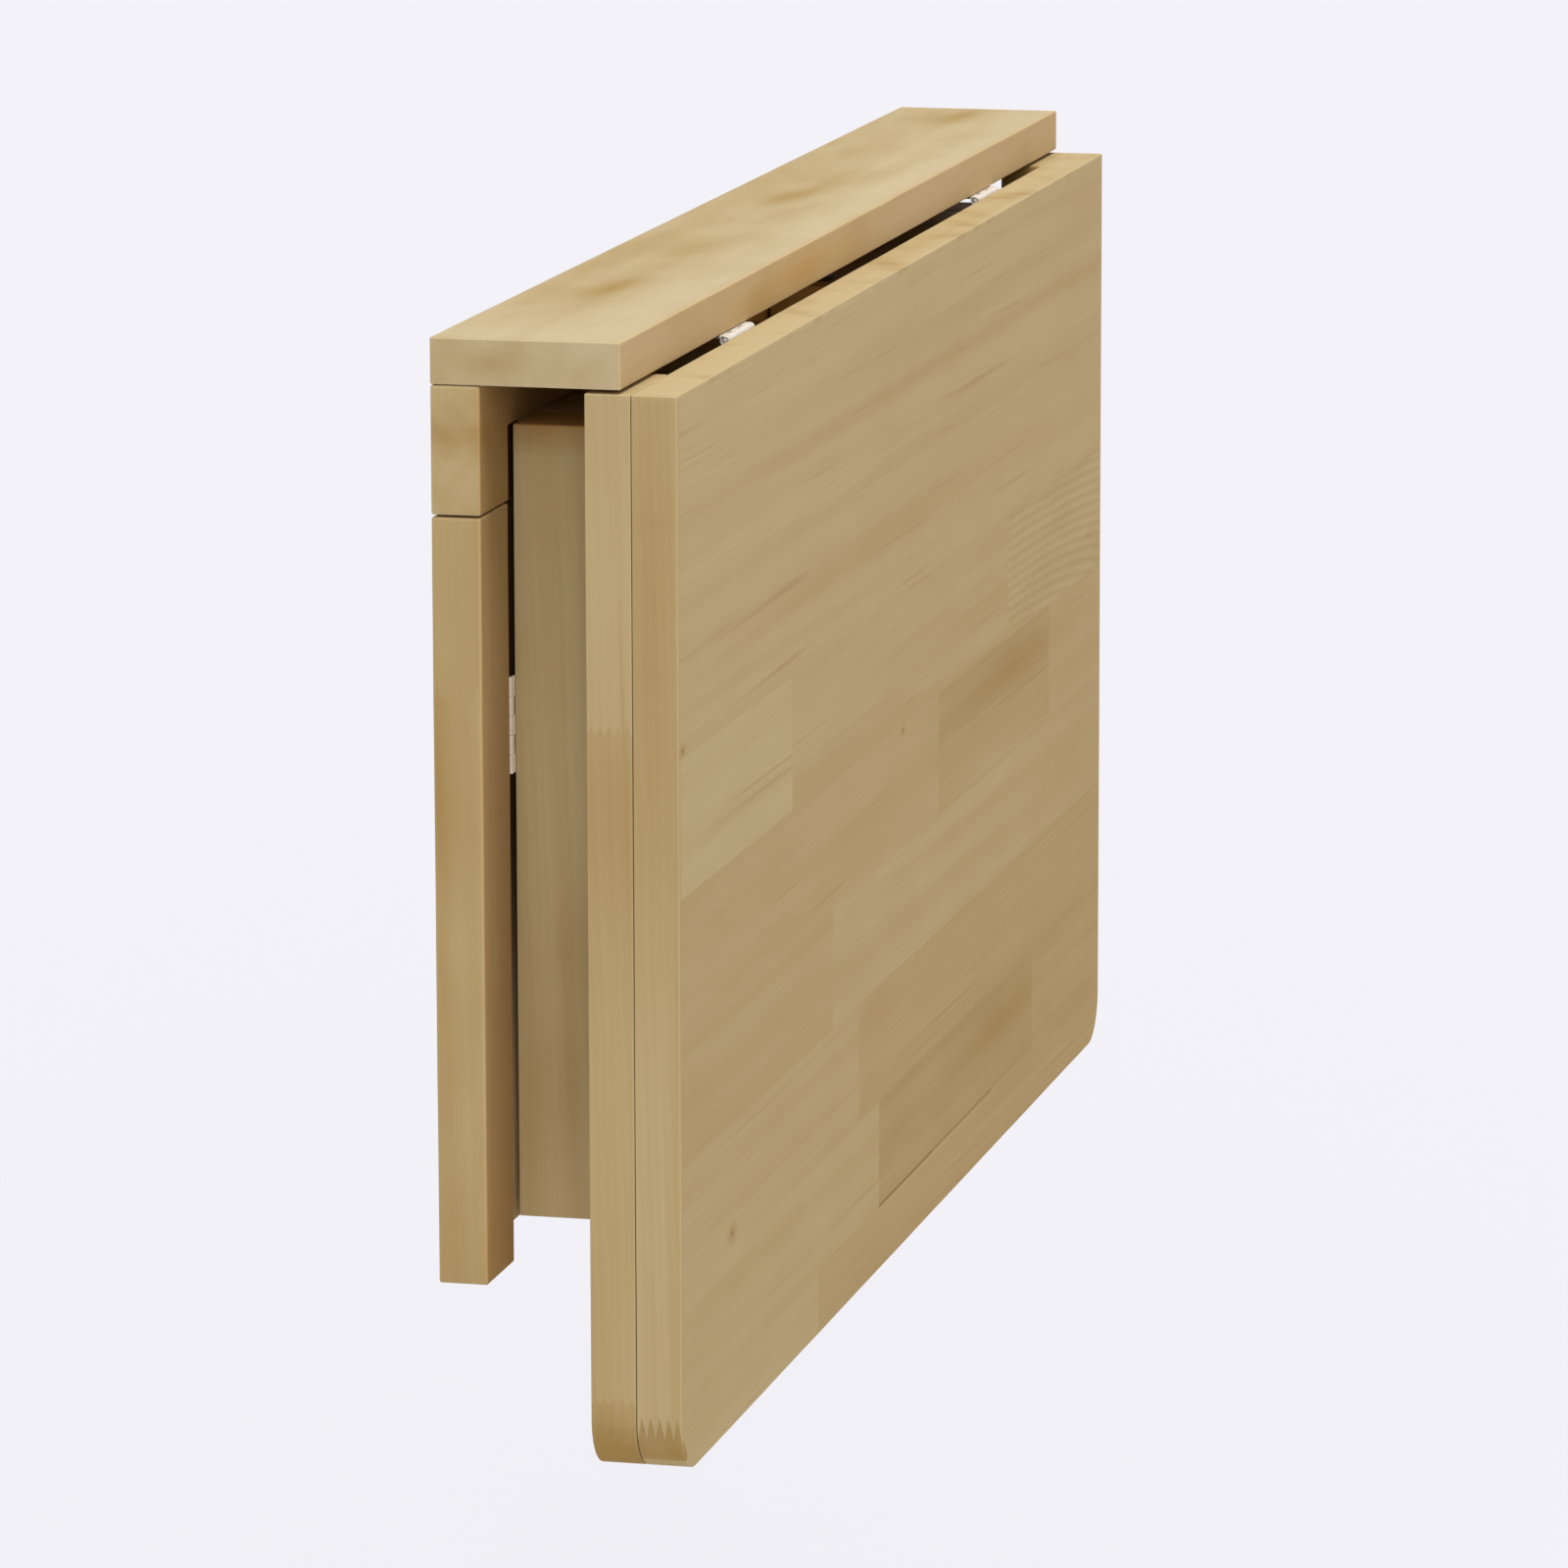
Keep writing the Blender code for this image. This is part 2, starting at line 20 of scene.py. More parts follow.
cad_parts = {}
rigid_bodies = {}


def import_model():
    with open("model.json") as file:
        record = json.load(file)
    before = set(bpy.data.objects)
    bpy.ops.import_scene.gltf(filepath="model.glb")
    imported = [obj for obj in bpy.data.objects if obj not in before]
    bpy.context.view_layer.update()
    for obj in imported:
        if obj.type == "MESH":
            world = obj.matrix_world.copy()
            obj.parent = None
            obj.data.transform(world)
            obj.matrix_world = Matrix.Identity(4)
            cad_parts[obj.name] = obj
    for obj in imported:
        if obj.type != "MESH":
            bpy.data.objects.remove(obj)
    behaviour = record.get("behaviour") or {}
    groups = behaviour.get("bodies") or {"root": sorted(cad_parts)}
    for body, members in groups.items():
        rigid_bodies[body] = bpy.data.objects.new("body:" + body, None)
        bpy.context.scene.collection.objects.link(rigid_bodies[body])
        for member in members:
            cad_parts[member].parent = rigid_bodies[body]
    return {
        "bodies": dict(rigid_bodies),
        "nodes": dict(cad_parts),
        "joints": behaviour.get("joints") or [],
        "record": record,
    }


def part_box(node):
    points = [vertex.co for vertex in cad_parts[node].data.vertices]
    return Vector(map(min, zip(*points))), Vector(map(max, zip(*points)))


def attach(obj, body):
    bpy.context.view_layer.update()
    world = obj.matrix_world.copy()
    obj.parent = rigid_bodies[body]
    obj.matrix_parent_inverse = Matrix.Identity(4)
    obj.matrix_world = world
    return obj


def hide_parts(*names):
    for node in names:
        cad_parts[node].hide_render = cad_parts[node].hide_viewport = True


Array = np.ndarray
Pair = tuple[float, float]
Triple = tuple[float, float, float]
Colour = Triple
Socket = bpy.types.NodeSocket
Lift = Callable[[Array, Array, Array], Array]

LOG = logging.getLogger("wall_table")

# The part's axes that run along a board's grain, across it and through it.
ALONG_X = (0, 2, 1)
ALONG_Z = (2, 0, 1)
LEVEL = (0, 1, 2)

# Places closer than this are one, points this close to a face are on it, and lengths below the
# third one count as nothing. Grid lines are rounded to so many decimals.
SAME_PLACE = 1e-6
ON_FACE = 1e-7
NO_LENGTH = 1e-12
DECIMALS = 7
# A turned piece's first and last rings are this small, and strips close them.
POLE = 1e-5

# Finger joints: teeth through a board, a tooth's length, and the share of that length on each
# side of the cut that moves along with it.
FINGERS = 5
FINGER_LENGTH = 0.008
FINGER_REACH = 0.8
# Each next stave's grain starts this much further on, so that no two look alike.
STAVE_SHIFT = 3.7
# A random stave at a board's far end is at least this long.
SHORTEST_STAVE = 0.06
# An arris is rubbed paler up to this many easing radii in, as wear and as a painted highlight, and
# a stain is this deep: a real dark line on the leaf, and a painted shadow on the rail.
RUBBED_HIGHLIGHT_REACH = 1.5
STAIN_AND_SHADE_DEPTH = 1e-3
# A board's corner is rounded by at least this many easing radii.
CORNER_EASE = 1.5
# Sanding by hand varies the easing by two sines, each with its depth and its waves along and
# across, and stays within a span.
SANDING = ((0.14, 47.0, 31.0), (0.08, 131.0, -83.0))
SANDING_SPAN = (0.75, 1.2)


class Side(Enum):
    """End of the table, as seen from the room."""

    LEFT = "left"
    RIGHT = "right"

    @property
    def sign(self) -> int:
        """Which way along X this end lies."""
        return -1 if self is Side.LEFT else 1


def linear(colour: Colour) -> tuple[float, float, float, float]:
    """Turn a display colour of 0 to 255 into the linear colour that a shader takes.

    A screen's curve is a straight line near black and a power of 2.4 above it.

    Args:
        colour: red, green and blue as a screen shows them.

    Returns:
        Linear red, green, blue and a full alpha.
    """
    share = np.array(colour) / 255
    low, high = share / 12.92, ((share + 0.055) / 1.055) ** 2.4
    return (*np.where(share <= 0.04045, low, high).tolist(), 1.0)


class Graph:
    """A material's shader nodes. Most methods add a node or two and return an output socket."""

    def __init__(self, name: str) -> None:
        """Start a material with a Principled shader.

        Args:
            name: the material's name.
        """
        self.material = bpy.data.materials.new(name)
        self.material.use_nodes = True
        self.tree = self.material.node_tree
        self.shader = self.tree.nodes["Principled BSDF"]

    def feed(self, socket: Socket, value: Any) -> None:
        """Link a socket to another one, or set its constant value.

        Args:
            socket: the input.
            value: an output, a constant, or None to leave the input as it is.
        """
        if isinstance(value, bpy.types.NodeSocket):
            self.tree.links.new(value, socket)
        elif value is not None:
            socket.default_value = value

    def add(self, kind: str, inputs: dict[Any, Any], output: Any = 0, **settings: Any) -> Socket:
        """Add a node.

        Args:
            kind: the node's type.
            inputs: values or sockets by input name or number.
            output: name or number of the output to return.
            settings: the node's own properties.

        Returns:
            The chosen output socket.
        """
        node = self.tree.nodes.new(kind)
        for key, value in settings.items():
            setattr(node, key, value)
        for key, value in inputs.items():
            self.feed(node.inputs[key], value)
        return node.outputs[output]

    def maths(self, operation: str, first: Any, second: Any = None, clamp: bool = False) -> Socket:
        """Add a Math node of one or two values."""
        inputs = {0: first, 1: second}
        return self.add("ShaderNodeMath", inputs, operation=operation, use_clamp=clamp)

    def times(self, first: Any, second: Any) -> Socket:
        """Multiply two values."""
        return self.maths("MULTIPLY", first, second)

    def plus(self, first: Any, second: Any, clamp: bool = False) -> Socket:
        """Add two values, and hold the sum between 0 and 1 if asked to."""
        return self.maths("ADD", first, second, clamp)

    def stretch(self, vector: Socket, factors: Triple) -> Socket:
        """Multiply a vector by a factor on each axis."""
        return self.add("ShaderNodeVectorMath", {0: vector, 1: factors}, operation="MULTIPLY")

    def length(self, vector: Socket) -> Socket:
        """Measure a vector."""
        return self.add("ShaderNodeVectorMath", {0: vector}, 1, operation="LENGTH")

    def noise(self, vector: Socket, scale: float = 1.0, detail: float = 2.0) -> Socket:
        """Add a smooth noise from 0 to 1, about 0.5 on average."""
        inputs = {"Vector": vector, "Scale": scale, "Detail": detail}
        return self.add("ShaderNodeTexNoise", inputs, "Fac")

    def drawn(self, vector: Socket, factors: Triple, detail: float = 2.0) -> Socket:
        """Add a noise with so many waves to the metre on each axis."""
        return self.noise(self.stretch(vector, factors), detail=detail)

    def swing(self, value: Socket, depth: float) -> Socket:
        """Turn a noise of 0 to 1 into a swing about zero of that depth."""
        return self.times(self.maths("SUBTRACT", value, 0.5), depth)

    def step(self, value: Any, low: float, high: float) -> Socket:
        """Rise smoothly from 0 to 1 while a value goes from low to high."""
        inputs = {"Value": value, "From Min": low, "From Max": high}
        return self.add("ShaderNodeMapRange", inputs, interpolation_type="SMOOTHSTEP")

    def fall(self, value: Any, low: float, high: float) -> Socket:
        """Fall smoothly from 1 to 0 while a value goes from low to high."""
        return self.maths("SUBTRACT", 1.0, self.step(value, low, high))

    def blend(self, factor: Any, first: Any, second: Any) -> Socket:
        """Mix two colours by a factor."""
        return self.add("ShaderNodeMix", {0: factor, 6: first, 7: second}, 2, data_type="RGBA")

    def parts(self, vector: Socket) -> tuple[Socket, Socket, Socket]:
        """Split a vector into its three values."""
        x = self.add("ShaderNodeSeparateXYZ", {0: vector})
        return (x, *x.node.outputs[1:3])

    def attribute(self, name: str) -> Socket:
        """Read a vector that the mesh carries."""
        return self.add("ShaderNodeAttribute", {}, "Vector", attribute_name=name)

    def place(self) -> Socket:
        """Read the point's place in the part's frame."""
        return self.add("ShaderNodeTexCoord", {}, "Object")

    def bump(self, height: Socket, depth: float) -> None:
        """Roughen the surface by a height of 0 to 1, times a depth in metres."""
        inputs = {"Strength": 1.0, "Distance": depth, "Height": height}
        self.feed(self.shader.inputs["Normal"], self.add("ShaderNodeBump", inputs))

    def set(self, **values: Any) -> None:
        """Set or link the shader's own sockets, named with _ for a space."""
        for key, value in values.items():
            self.feed(self.shader.inputs[key.replace("_", " ")], value)


@dataclass(frozen=True)
class Knot:
    """A small knot in a board's face: where it is in the frame, and how wide."""

    centre: Triple
    radius: float


@dataclass(frozen=True)
class PineFinish:
    """Clear satin lacquer on pine, on the grain that a board's staves carry.

    The mesh gives each stave's grain in metres: how far along it, and how far from its pith
    across and through. Growth rings are shells of equal distance from the pith. Fibres, streaks,
    mottle and lines are noise stretched along the grain, with so many waves to the metre, and a
    span says between which values of the noise each comes in. The stave's own tint goes from pale
    to amber, and its blush to pink. A whole finish is for an upright solid that carries no staves:
    its grain runs up the frame, and below the fading heights its dark painted shade fades
    into bare wood.
    """

    name: str
    pale: Colour = (189, 170, 128)
    amber: Colour = (157, 127, 74)
    pink: Colour = (182, 148, 110)
    latewood: Colour = (140, 99, 56)
    glue: Colour = (104, 74, 40)
    knot: Colour = (98, 62, 34)
    stained: Colour = (50, 32, 18)
    bare: Colour = (200, 176, 134)
    ring_width: float = 0.0034
    ring_depth: float = 0.13
    ring_rise: Pair = (0.15, 0.75)
    ring_fall: Pair = (0.75, 1.0)
    sway: float = 0.010
    sway_waves: Triple = (5.0, 34.0, 34.0)
    fibre_depth: float = 0.07
    fibre_waves: Triple = (14.0, 1100.0, 1100.0)
    fibre_span: Pair = (0.50, 0.80)
    streak_depth: float = 0.22
    streak_waves: Triple = (1.5, 80.0, 80.0)
    streak_span: Pair = (0.34, 0.68)
    mottle_depth: float = 0.14
    mottle_waves: Triple = (16.0, 38.0, 38.0)
    mottle_span: Pair = (0.33, 0.67)
    line_depth: float = 0.0
    line_waves: Triple = (2.4, 300.0, 300.0)
    line_span: Pair = (0.65, 0.82)
    glue_span: Pair = (0.30, 0.62)
    blush_depth: float = 0.5
    halo_depth: float = 0.35
    halo_span: Pair = (0.7, 3.2)
    core_depth: float = 0.34
    core_span: Pair = (0.35, 1.1)
    knot_draw: float = 0.6
    knot_waves: float = 1.7
    knot_swing: float = 0.5
    relief: float = 0.00004
    fibre_relief: float = 0.7
    ring_relief: float = 0.3
    rough: float = 0.52
    rough_swing: float = 0.16
    gloss: float = 0.01
    knots: tuple[Knot, ...] = ()
    whole: bool = False
    whole_tint: float = 0.35
    whole_figure: float = 0.8
    fading: Pair = (0.0, 1.0)

    def material(self) -> bpy.types.Material:
        """Lay the nodes.

        Returns:
            The finish as a material.
        """
        g = Graph(self.name)
        if self.whole:
            x, y, z = g.parts(g.place())
            grain = g.add("ShaderNodeCombineXYZ", {0: z, 1: g.maths("ABSOLUTE", x), 2: y})
            tint, figure, calm = self.whole_tint, self.whole_figure, 1.0
        else:
            grain = g.attribute("grain")
            tint, blush, figure = g.parts(g.attribute("stave"))
            seam, calm, stain = g.parts(g.attribute("joint"))
        fibre = g.drawn(grain, self.fibre_waves, detail=3.0)
        streak = g.drawn(grain, self.streak_waves)
        mottle = g.drawn(grain, self.mottle_waves, detail=1.5)
        late = self._late(g, grain, calm)

        shade = g.plus(tint, g.swing(g.step(mottle, *self.mottle_span), self.mottle_depth))
        streaked = g.swing(g.step(streak, *self.streak_span), self.streak_depth)
        colour = g.blend(g.plus(shade, streaked, clamp=True), linear(self.pale), linear(self.amber))
        if not self.whole:
            colour = g.blend(g.times(blush, self.blush_depth), colour, linear(self.pink))
        dark = linear(self.latewood)
        colour = g.blend(g.times(g.times(late, figure), self.ring_depth), colour, dark)
        if self.whole:
            # Painted shade fades into bare wood below the fading heights.
            colour = g.blend(g.step(z, *self.fading), linear(self.bare), colour)
        fleck = g.step(fibre, *self.fibre_span)
        colour = g.blend(g.times(fleck, self.fibre_depth), colour, dark)
        if self.line_depth:
            lines = g.step(g.drawn(grain, self.line_waves, detail=1.0), *self.line_span)
            colour = g.blend(g.times(lines, self.line_depth), colour, dark)
        height = g.plus(g.times(fibre, self.fibre_relief), g.times(late, self.ring_relief))
        if not self.whole:
            worn = g.times(seam, g.step(streak, *self.glue_span))
            colour = g.blend(worn, colour, linear(self.glue))
            # Darken low faces by stain: a real dark line on the leaf, a painted shadow on the
            # rail's front.
            colour = g.blend(stain, colour, linear(self.stained))
            height = g.maths("SUBTRACT", height, worn)
        for spot in self.knots:
            colour = self._with_knot(g, colour, spot)

        g.bump(height, self.relief)
        rough = g.plus(self.rough, g.swing(fibre, self.rough_swing))
        g.set(Base_Color=colour, Roughness=rough, Specular_IOR_Level=self.gloss)
        return g.material

    def _late(self, g: Graph, grain: Socket, calm: Any) -> Socket:
        """Draw the growth rings: the share of dark latewood rises slowly and falls fast in a ring.

        A point's turn, from 0 to 1 in each ring, is its wavering distance from the pith over the
        ring's width, less the whole part.

        Args:
            g: the nodes.
            grain: the stave's grain.
            calm: how much the rings waver.

        Returns:
            The latewood's share, from 0 to 1.
        """
        sway = g.times(g.swing(g.drawn(grain, self.sway_waves), self.sway), calm)
        distance = g.length(g.stretch(grain, (0.0, 1.0, 1.0)))
        turn = g.maths("FRACT", g.maths("DIVIDE", g.plus(distance, sway), self.ring_width))
        return g.times(g.step(turn, *self.ring_rise), g.fall(turn, *self.ring_fall))

    def _with_knot(self, g: Graph, colour: Socket, spot: Knot) -> Socket:
        """Paint a knot: a dark core with an amber halo drawn out along the grain.

        Args:
            g: the nodes.
            colour: the wood under it.
            spot: the knot.

        Returns:
            The colour with the knot in it.
        """
        mapping = {"Vector": g.place(), "Location": tuple(-v for v in spot.centre)}
        away = g.add("ShaderNodeMapping", mapping)
        narrow = 1 / spot.radius
        squeezed = g.stretch(away, (self.knot_draw / spot.radius, narrow, narrow))
        uneven = g.swing(g.noise(squeezed, self.knot_waves), self.knot_swing)
        ragged = g.plus(g.length(squeezed), uneven)
        halo = g.times(g.fall(ragged, *self.halo_span), self.halo_depth)
        core = g.times(g.fall(ragged, *self.core_span), self.core_depth)
        return g.blend(core, g.blend(halo, colour, linear(self.amber)), linear(self.knot))


@dataclass(frozen=True)
class BeechFinish:
    """Plain turned beech of the dowels: a pinkish wood with short dark flecks along its length."""

    name: str = "beech_dowel_wood"
    light: Colour = (196, 165, 128)
    dark: Colour = (150, 112, 78)
    fleck_waves: Triple = (900.0, 900.0, 260.0)
    fleck_span: Pair = (0.55, 0.75)
    cloud_waves: Triple = (90.0, 90.0, 30.0)
    relief: float = 0.00008
    rough: float = 0.62
    rough_swing: float = 0.2

    def material(self) -> bpy.types.Material:
        """Lay the nodes.

        Returns:
            The finish as a material.
        """
        g = Graph(self.name)
        fleck = g.drawn(g.place(), self.fleck_waves, detail=3.0)
        cloud = g.drawn(g.place(), self.cloud_waves)
        colour = g.blend(cloud, linear(self.light), linear(self.dark))
        colour = g.blend(g.step(fleck, *self.fleck_span), colour, linear(self.dark))
        g.bump(fleck, self.relief)
        g.set(Base_Color=colour, Roughness=g.plus(self.rough, g.swing(fleck, self.rough_swing)))
        return g.material


@dataclass(frozen=True)
class SteelFinish:
    """Matt zinc on steel: a pale grey skin, drawn along one axis, with faint cloudy spangle."""

    name: str
    drawn: Triple
    bright: Colour = (228, 220, 208)
    dull: Colour = (208, 200, 188)
    smooth: float = 0.54
    metal: float = 0.25
    line_swing: float = 0.12
    cloud_waves: float = 420.0
    cloud_span: Pair = (0.30, 0.75)
    cloud_swing: float = 0.08
    relief: float = 0.000003

    def material(self) -> bpy.types.Material:
        """Lay the nodes.

        Returns:
            The finish as a material.
        """
        g = Graph(self.name)
        line = g.drawn(g.place(), self.drawn, detail=3.0)
        cloud = g.noise(g.place(), self.cloud_waves)
        spangle = g.step(cloud, *self.cloud_span)
        colour = g.blend(spangle, linear(self.bright), linear(self.dull))
        rough = g.plus(self.smooth, g.swing(line, self.line_swing))
        rough = g.plus(rough, g.swing(cloud, self.cloud_swing))
        g.bump(line, self.relief)
        g.set(Base_Color=colour, Roughness=rough, Metallic=self.metal)
        return g.material


@dataclass(frozen=True)
class FeltFinish:
    """Pressed brown felt: matted fibres of two shades with a soft sheen."""

    name: str = "pad_felt_fibres"
    light: Colour = (84, 70, 58)
    dark: Colour = (42, 34, 28)
    fibre_waves: float = 2600.0
    fibre_span: Pair = (0.35, 0.65)
    cloud_waves: float = 500.0
    cloud_swing: float = 0.6
    relief: float = 0.0002
    rough: float = 0.92
    rough_swing: float = 0.1
    sheen: float = 0.35
    sheen_rough: float = 0.5

    def material(self) -> bpy.types.Material:
        """Lay the nodes.

        Returns:
            The finish as a material.
        """
        g = Graph(self.name)
        matted = g.noise(g.place(), self.fibre_waves, detail=4.0)
        cloud = g.swing(g.noise(g.place(), self.cloud_waves), self.cloud_swing)
        shade = g.plus(g.step(matted, *self.fibre_span), cloud, clamp=True)
        colour = g.blend(shade, linear(self.dark), linear(self.light))
        g.bump(matted, self.relief)
        g.set(Base_Color=colour, Roughness=g.plus(self.rough, g.swing(matted, self.rough_swing)))
        g.set(Sheen_Weight=self.sheen, Sheen_Roughness=self.sheen_rough)
        return g.material


@dataclass(frozen=True)
class Shell:
    """Points and four-cornered faces of a closed surface."""

    points: Array
    quads: Array

    def outward(self) -> Shell:
        """Turn the faces so that they point outwards.

        The volume that the faces enclose is the sum of each triangle's box product with the origin
        over six, and it is negative when they point inwards.

        Returns:
            The same surface, with its faces turned round if need be.
        """
        a, b, c, d = (self.points[self.quads[:, n]] for n in range(4))
        volume = np.einsum("ij,ij->", a, np.cross(b, c)) + np.einsum("ij,ij->", a, np.cross(c, d))
        return self if volume > 0 else Shell(self.points, self.quads[:, ::-1])


def joined(shells: list[Shell]) -> Shell:
    """Put several surfaces into one list of points and faces.

    Args:
        shells: the surfaces.

    Returns:
        All of them as one, each still closed by itself.
    """
    starts = np.cumsum([0, *(len(shell.points) for shell in shells[:-1])])
    quads = [shell.quads + start for shell, start in zip(shells, starts)]
    return Shell(np.concatenate([shell.points for shell in shells]), np.concatenate(quads))


def grid_quads(rows: int, columns: int, wrap_rows: bool = False,
               wrap_columns: bool = False) -> Array:
    """Number the corners of the faces of a grid of points.

    Args:
        rows: points in the first direction.
        columns: points in the second direction.
        wrap_rows: whether the last row joins the first.
        wrap_columns: whether the last column joins the first.

    Returns:
        Four point numbers for each face.
    """
    first = np.arange(rows if wrap_rows else rows - 1)
    second = np.arange(columns if wrap_columns else columns - 1)
    i, j = np.meshgrid(first, second, indexing="ij")
    here, after = i * columns, (i + 1) % rows * columns
    beside = (j + 1) % columns
    return np.stack([here + j, after + j, after + beside, here + beside], -1).reshape(-1, 4)


def mesh_object(name: str, shell: Shell, smooth_angle: float = 35.0) -> bpy.types.Object:
    """Make an object at the origin from a surface.

    Args:
        name: the object's name.
        shell: its surface, in place.
        smooth_angle: edges sharper than this many degrees stay crisp.

    Returns:
        The new object.
    """
    mesh = bpy.data.meshes.new(name)
    count = len(shell.quads)
    mesh.vertices.add(len(shell.points))
    mesh.vertices.foreach_set("co", shell.points.astype(np.float32).ravel())
    mesh.loops.add(4 * count)
    mesh.loops.foreach_set("vertex_index", shell.quads.astype(np.int32).ravel())
    mesh.polygons.add(count)
    mesh.polygons.foreach_set("loop_start", np.arange(0, 4 * count, 4, dtype=np.int32))
    mesh.update(calc_edges=True)
    mesh.shade_smooth()
    mesh.set_sharp_from_angle(angle=math.radians(smooth_angle))
    made = bpy.data.objects.new(name, mesh)
    bpy.context.scene.collection.objects.link(made)
    return made


def block_shell(lines: list[Array], solid: Array) -> Shell:
    """Make the surface of a box of blocks, some of which are left out.

    Between neighbours along an axis, the difference of solid, 1, and empty, 0, is a side's facing:
    1 where the solid begins, -1 where it ends. The sides' corners are points of the cut lines.

    Args:
        lines: the cuts along each axis, from end to end.
        solid: whether each block stays.

    Returns:
        The surface.
    """
    counts = [len(line) for line in lines]
    quads = []
    for axis in range(3):
        pad = [(1, 1) if n == axis else (0, 0) for n in range(3)]
        facing = np.diff(np.pad(solid.astype(int), pad), axis=axis)
        cells = np.argwhere(facing != 0)
        p, q = np.eye(3, dtype=int)[(axis + 1) % 3], np.eye(3, dtype=int)[(axis + 2) % 3]
        corners = np.stack([cells, cells + p, cells + p + q, cells + q], 1)
        ids = (corners[..., 0] * counts[1] + corners[..., 1]) * counts[2] + corners[..., 2]
        begins = facing[facing != 0] > 0
        quads.append(np.where(begins[:, None], ids[:, ::-1], ids))
    used, numbers = np.unique(np.concatenate(quads), return_inverse=True)
    i, rest = np.divmod(used, counts[1] * counts[2])
    j, k = np.divmod(rest, counts[2])
    points = np.stack([lines[0][i], lines[1][j], lines[2][k]], -1)
    return Shell(points, numbers.reshape(-1, 4)).outward()


def turned_shell(profile: Array, axis: Frame, facets: int, lift: Lift | None = None) -> Shell:
    """Turn a profile round an axis.

    A point at angle t of the profile's (radius, distance) stands at radius times (cos t, sin t)
    across the axis and at that distance along it. The profile starts and ends close to the axis,
    where strips between opposite points of the small last ring close the surface.

    Args:
        profile: (radius, distance) pairs.
        axis: where the axis starts and which way it goes.
        facets: points round the axis, an even number.
        lift: optional new distance from the two places across and the distance.

    Returns:
        The turned surface.
    """
    angle = np.linspace(0, 2 * np.pi, facets, endpoint=False)
    radius, distance = profile[:, :1], np.broadcast_to(profile[:, 1:], (len(profile), facets))
    first, second = radius * np.cos(angle), radius * np.sin(angle)
    if lift is not None:
        distance = lift(first, second, distance)
    points = axis.to_world(np.stack([first, second, distance], -1).reshape(-1, 3))
    strip = np.arange(facets // 2 - 1)
    cap = np.stack([strip, strip + 1, facets - 2 - strip, facets - 1 - strip], -1)
    wall = grid_quads(len(profile), facets, wrap_columns=True)
    quads = np.concatenate([wall, cap, cap[:, ::-1] + (len(profile) - 1) * facets])
    return Shell(points, quads).outward()


@dataclass(frozen=True)
class Frame:
    """A place with three directions at right angles: two across and one along."""

    origin: Array
    first: Array
    second: Array
    along: Array

    @staticmethod
    def facing(origin: Array, along: Array, first: Array) -> Frame:
        """Make a frame from its along and first directions."""
        return Frame(origin, first, np.cross(along, first), along)

    def to_world(self, local: Array) -> Array:
        """Take points from this frame to the part's."""
        return self.origin + local @ np.stack([self.first, self.second, self.along])


@dataclass(frozen=True)
class Stave:
    """One length of pine in a board, from a start to an end along it and across it, in metres.

    The pith is its tree's middle, at an offset across and through the board, and the drifts say
    how it wanders per metre. A spread above 1 widens its growth rings, and a calm below 1 lets them
    waver less. Tint goes from 0, pale, to 1, amber, between the stave's ends. A stain of
    1 darkens its low face: a real dark line on the leaf, and a painted shadow on the rail.
    """

    along: Pair
    across: Pair
    tint: Pair = (0.3, 0.3)
    blush: float = 0.1
    figure: float = 1.0
    pith: Pair = (0.0, -0.04)
    drift: Pair = (0.01, 0.03)
    upright: bool = False
    spread: float = 1.0
    calm: float = 1.0
    stain: float = 0.0

    @property
    def run(self) -> Pair:
        """Where it starts and ends along its own grain."""
        return self.across if self.upright else self.along

    @property
    def breadth(self) -> Pair:
        """Where it starts and ends across its own grain."""
        return self.along if self.upright else self.across


@dataclass(frozen=True)
class Teeth:
    """A finger joint: the cut it lies on, the strip it crosses, and its teeth through the board."""

    axis: int
    at: float
    within: Pair
    length: float = FINGER_LENGTH
    count: int = FINGERS


@dataclass(frozen=True)
class Patch:
    """A soft darker or paler spot: its middle and reach along and across, and its strength.

    With a through pair, a middle and reach in the thickness, it fades through the board as well.
    A ragged one is drawn out of round by sines of the place.
    """

    middle: Pair
    reach: Pair
    tint: float
    blush: float = 0.0
    through: Pair = (0.0, 1.0)
    ragged: float = 0.0
    ragged_waves: float = 2.3
    ragged_start: float = 40.0

    def bell(self, places: Array) -> Array:
        """Give the spot's share: e to the minus square of the distance, counted in reaches.

        Args:
            places: places along, across and through the board.

        Returns:
            A share for each place, 1 in the middle and fading to 0.
        """
        away = (places - (*self.middle, self.through[0])) / (*self.reach, self.through[1])
        start = self.ragged_start * self.middle[0]
        turn = np.sin(self.ragged_waves * np.roll(away, 1, -1) + start)
        return np.exp(-np.square(away + self.ragged * turn).sum(-1))


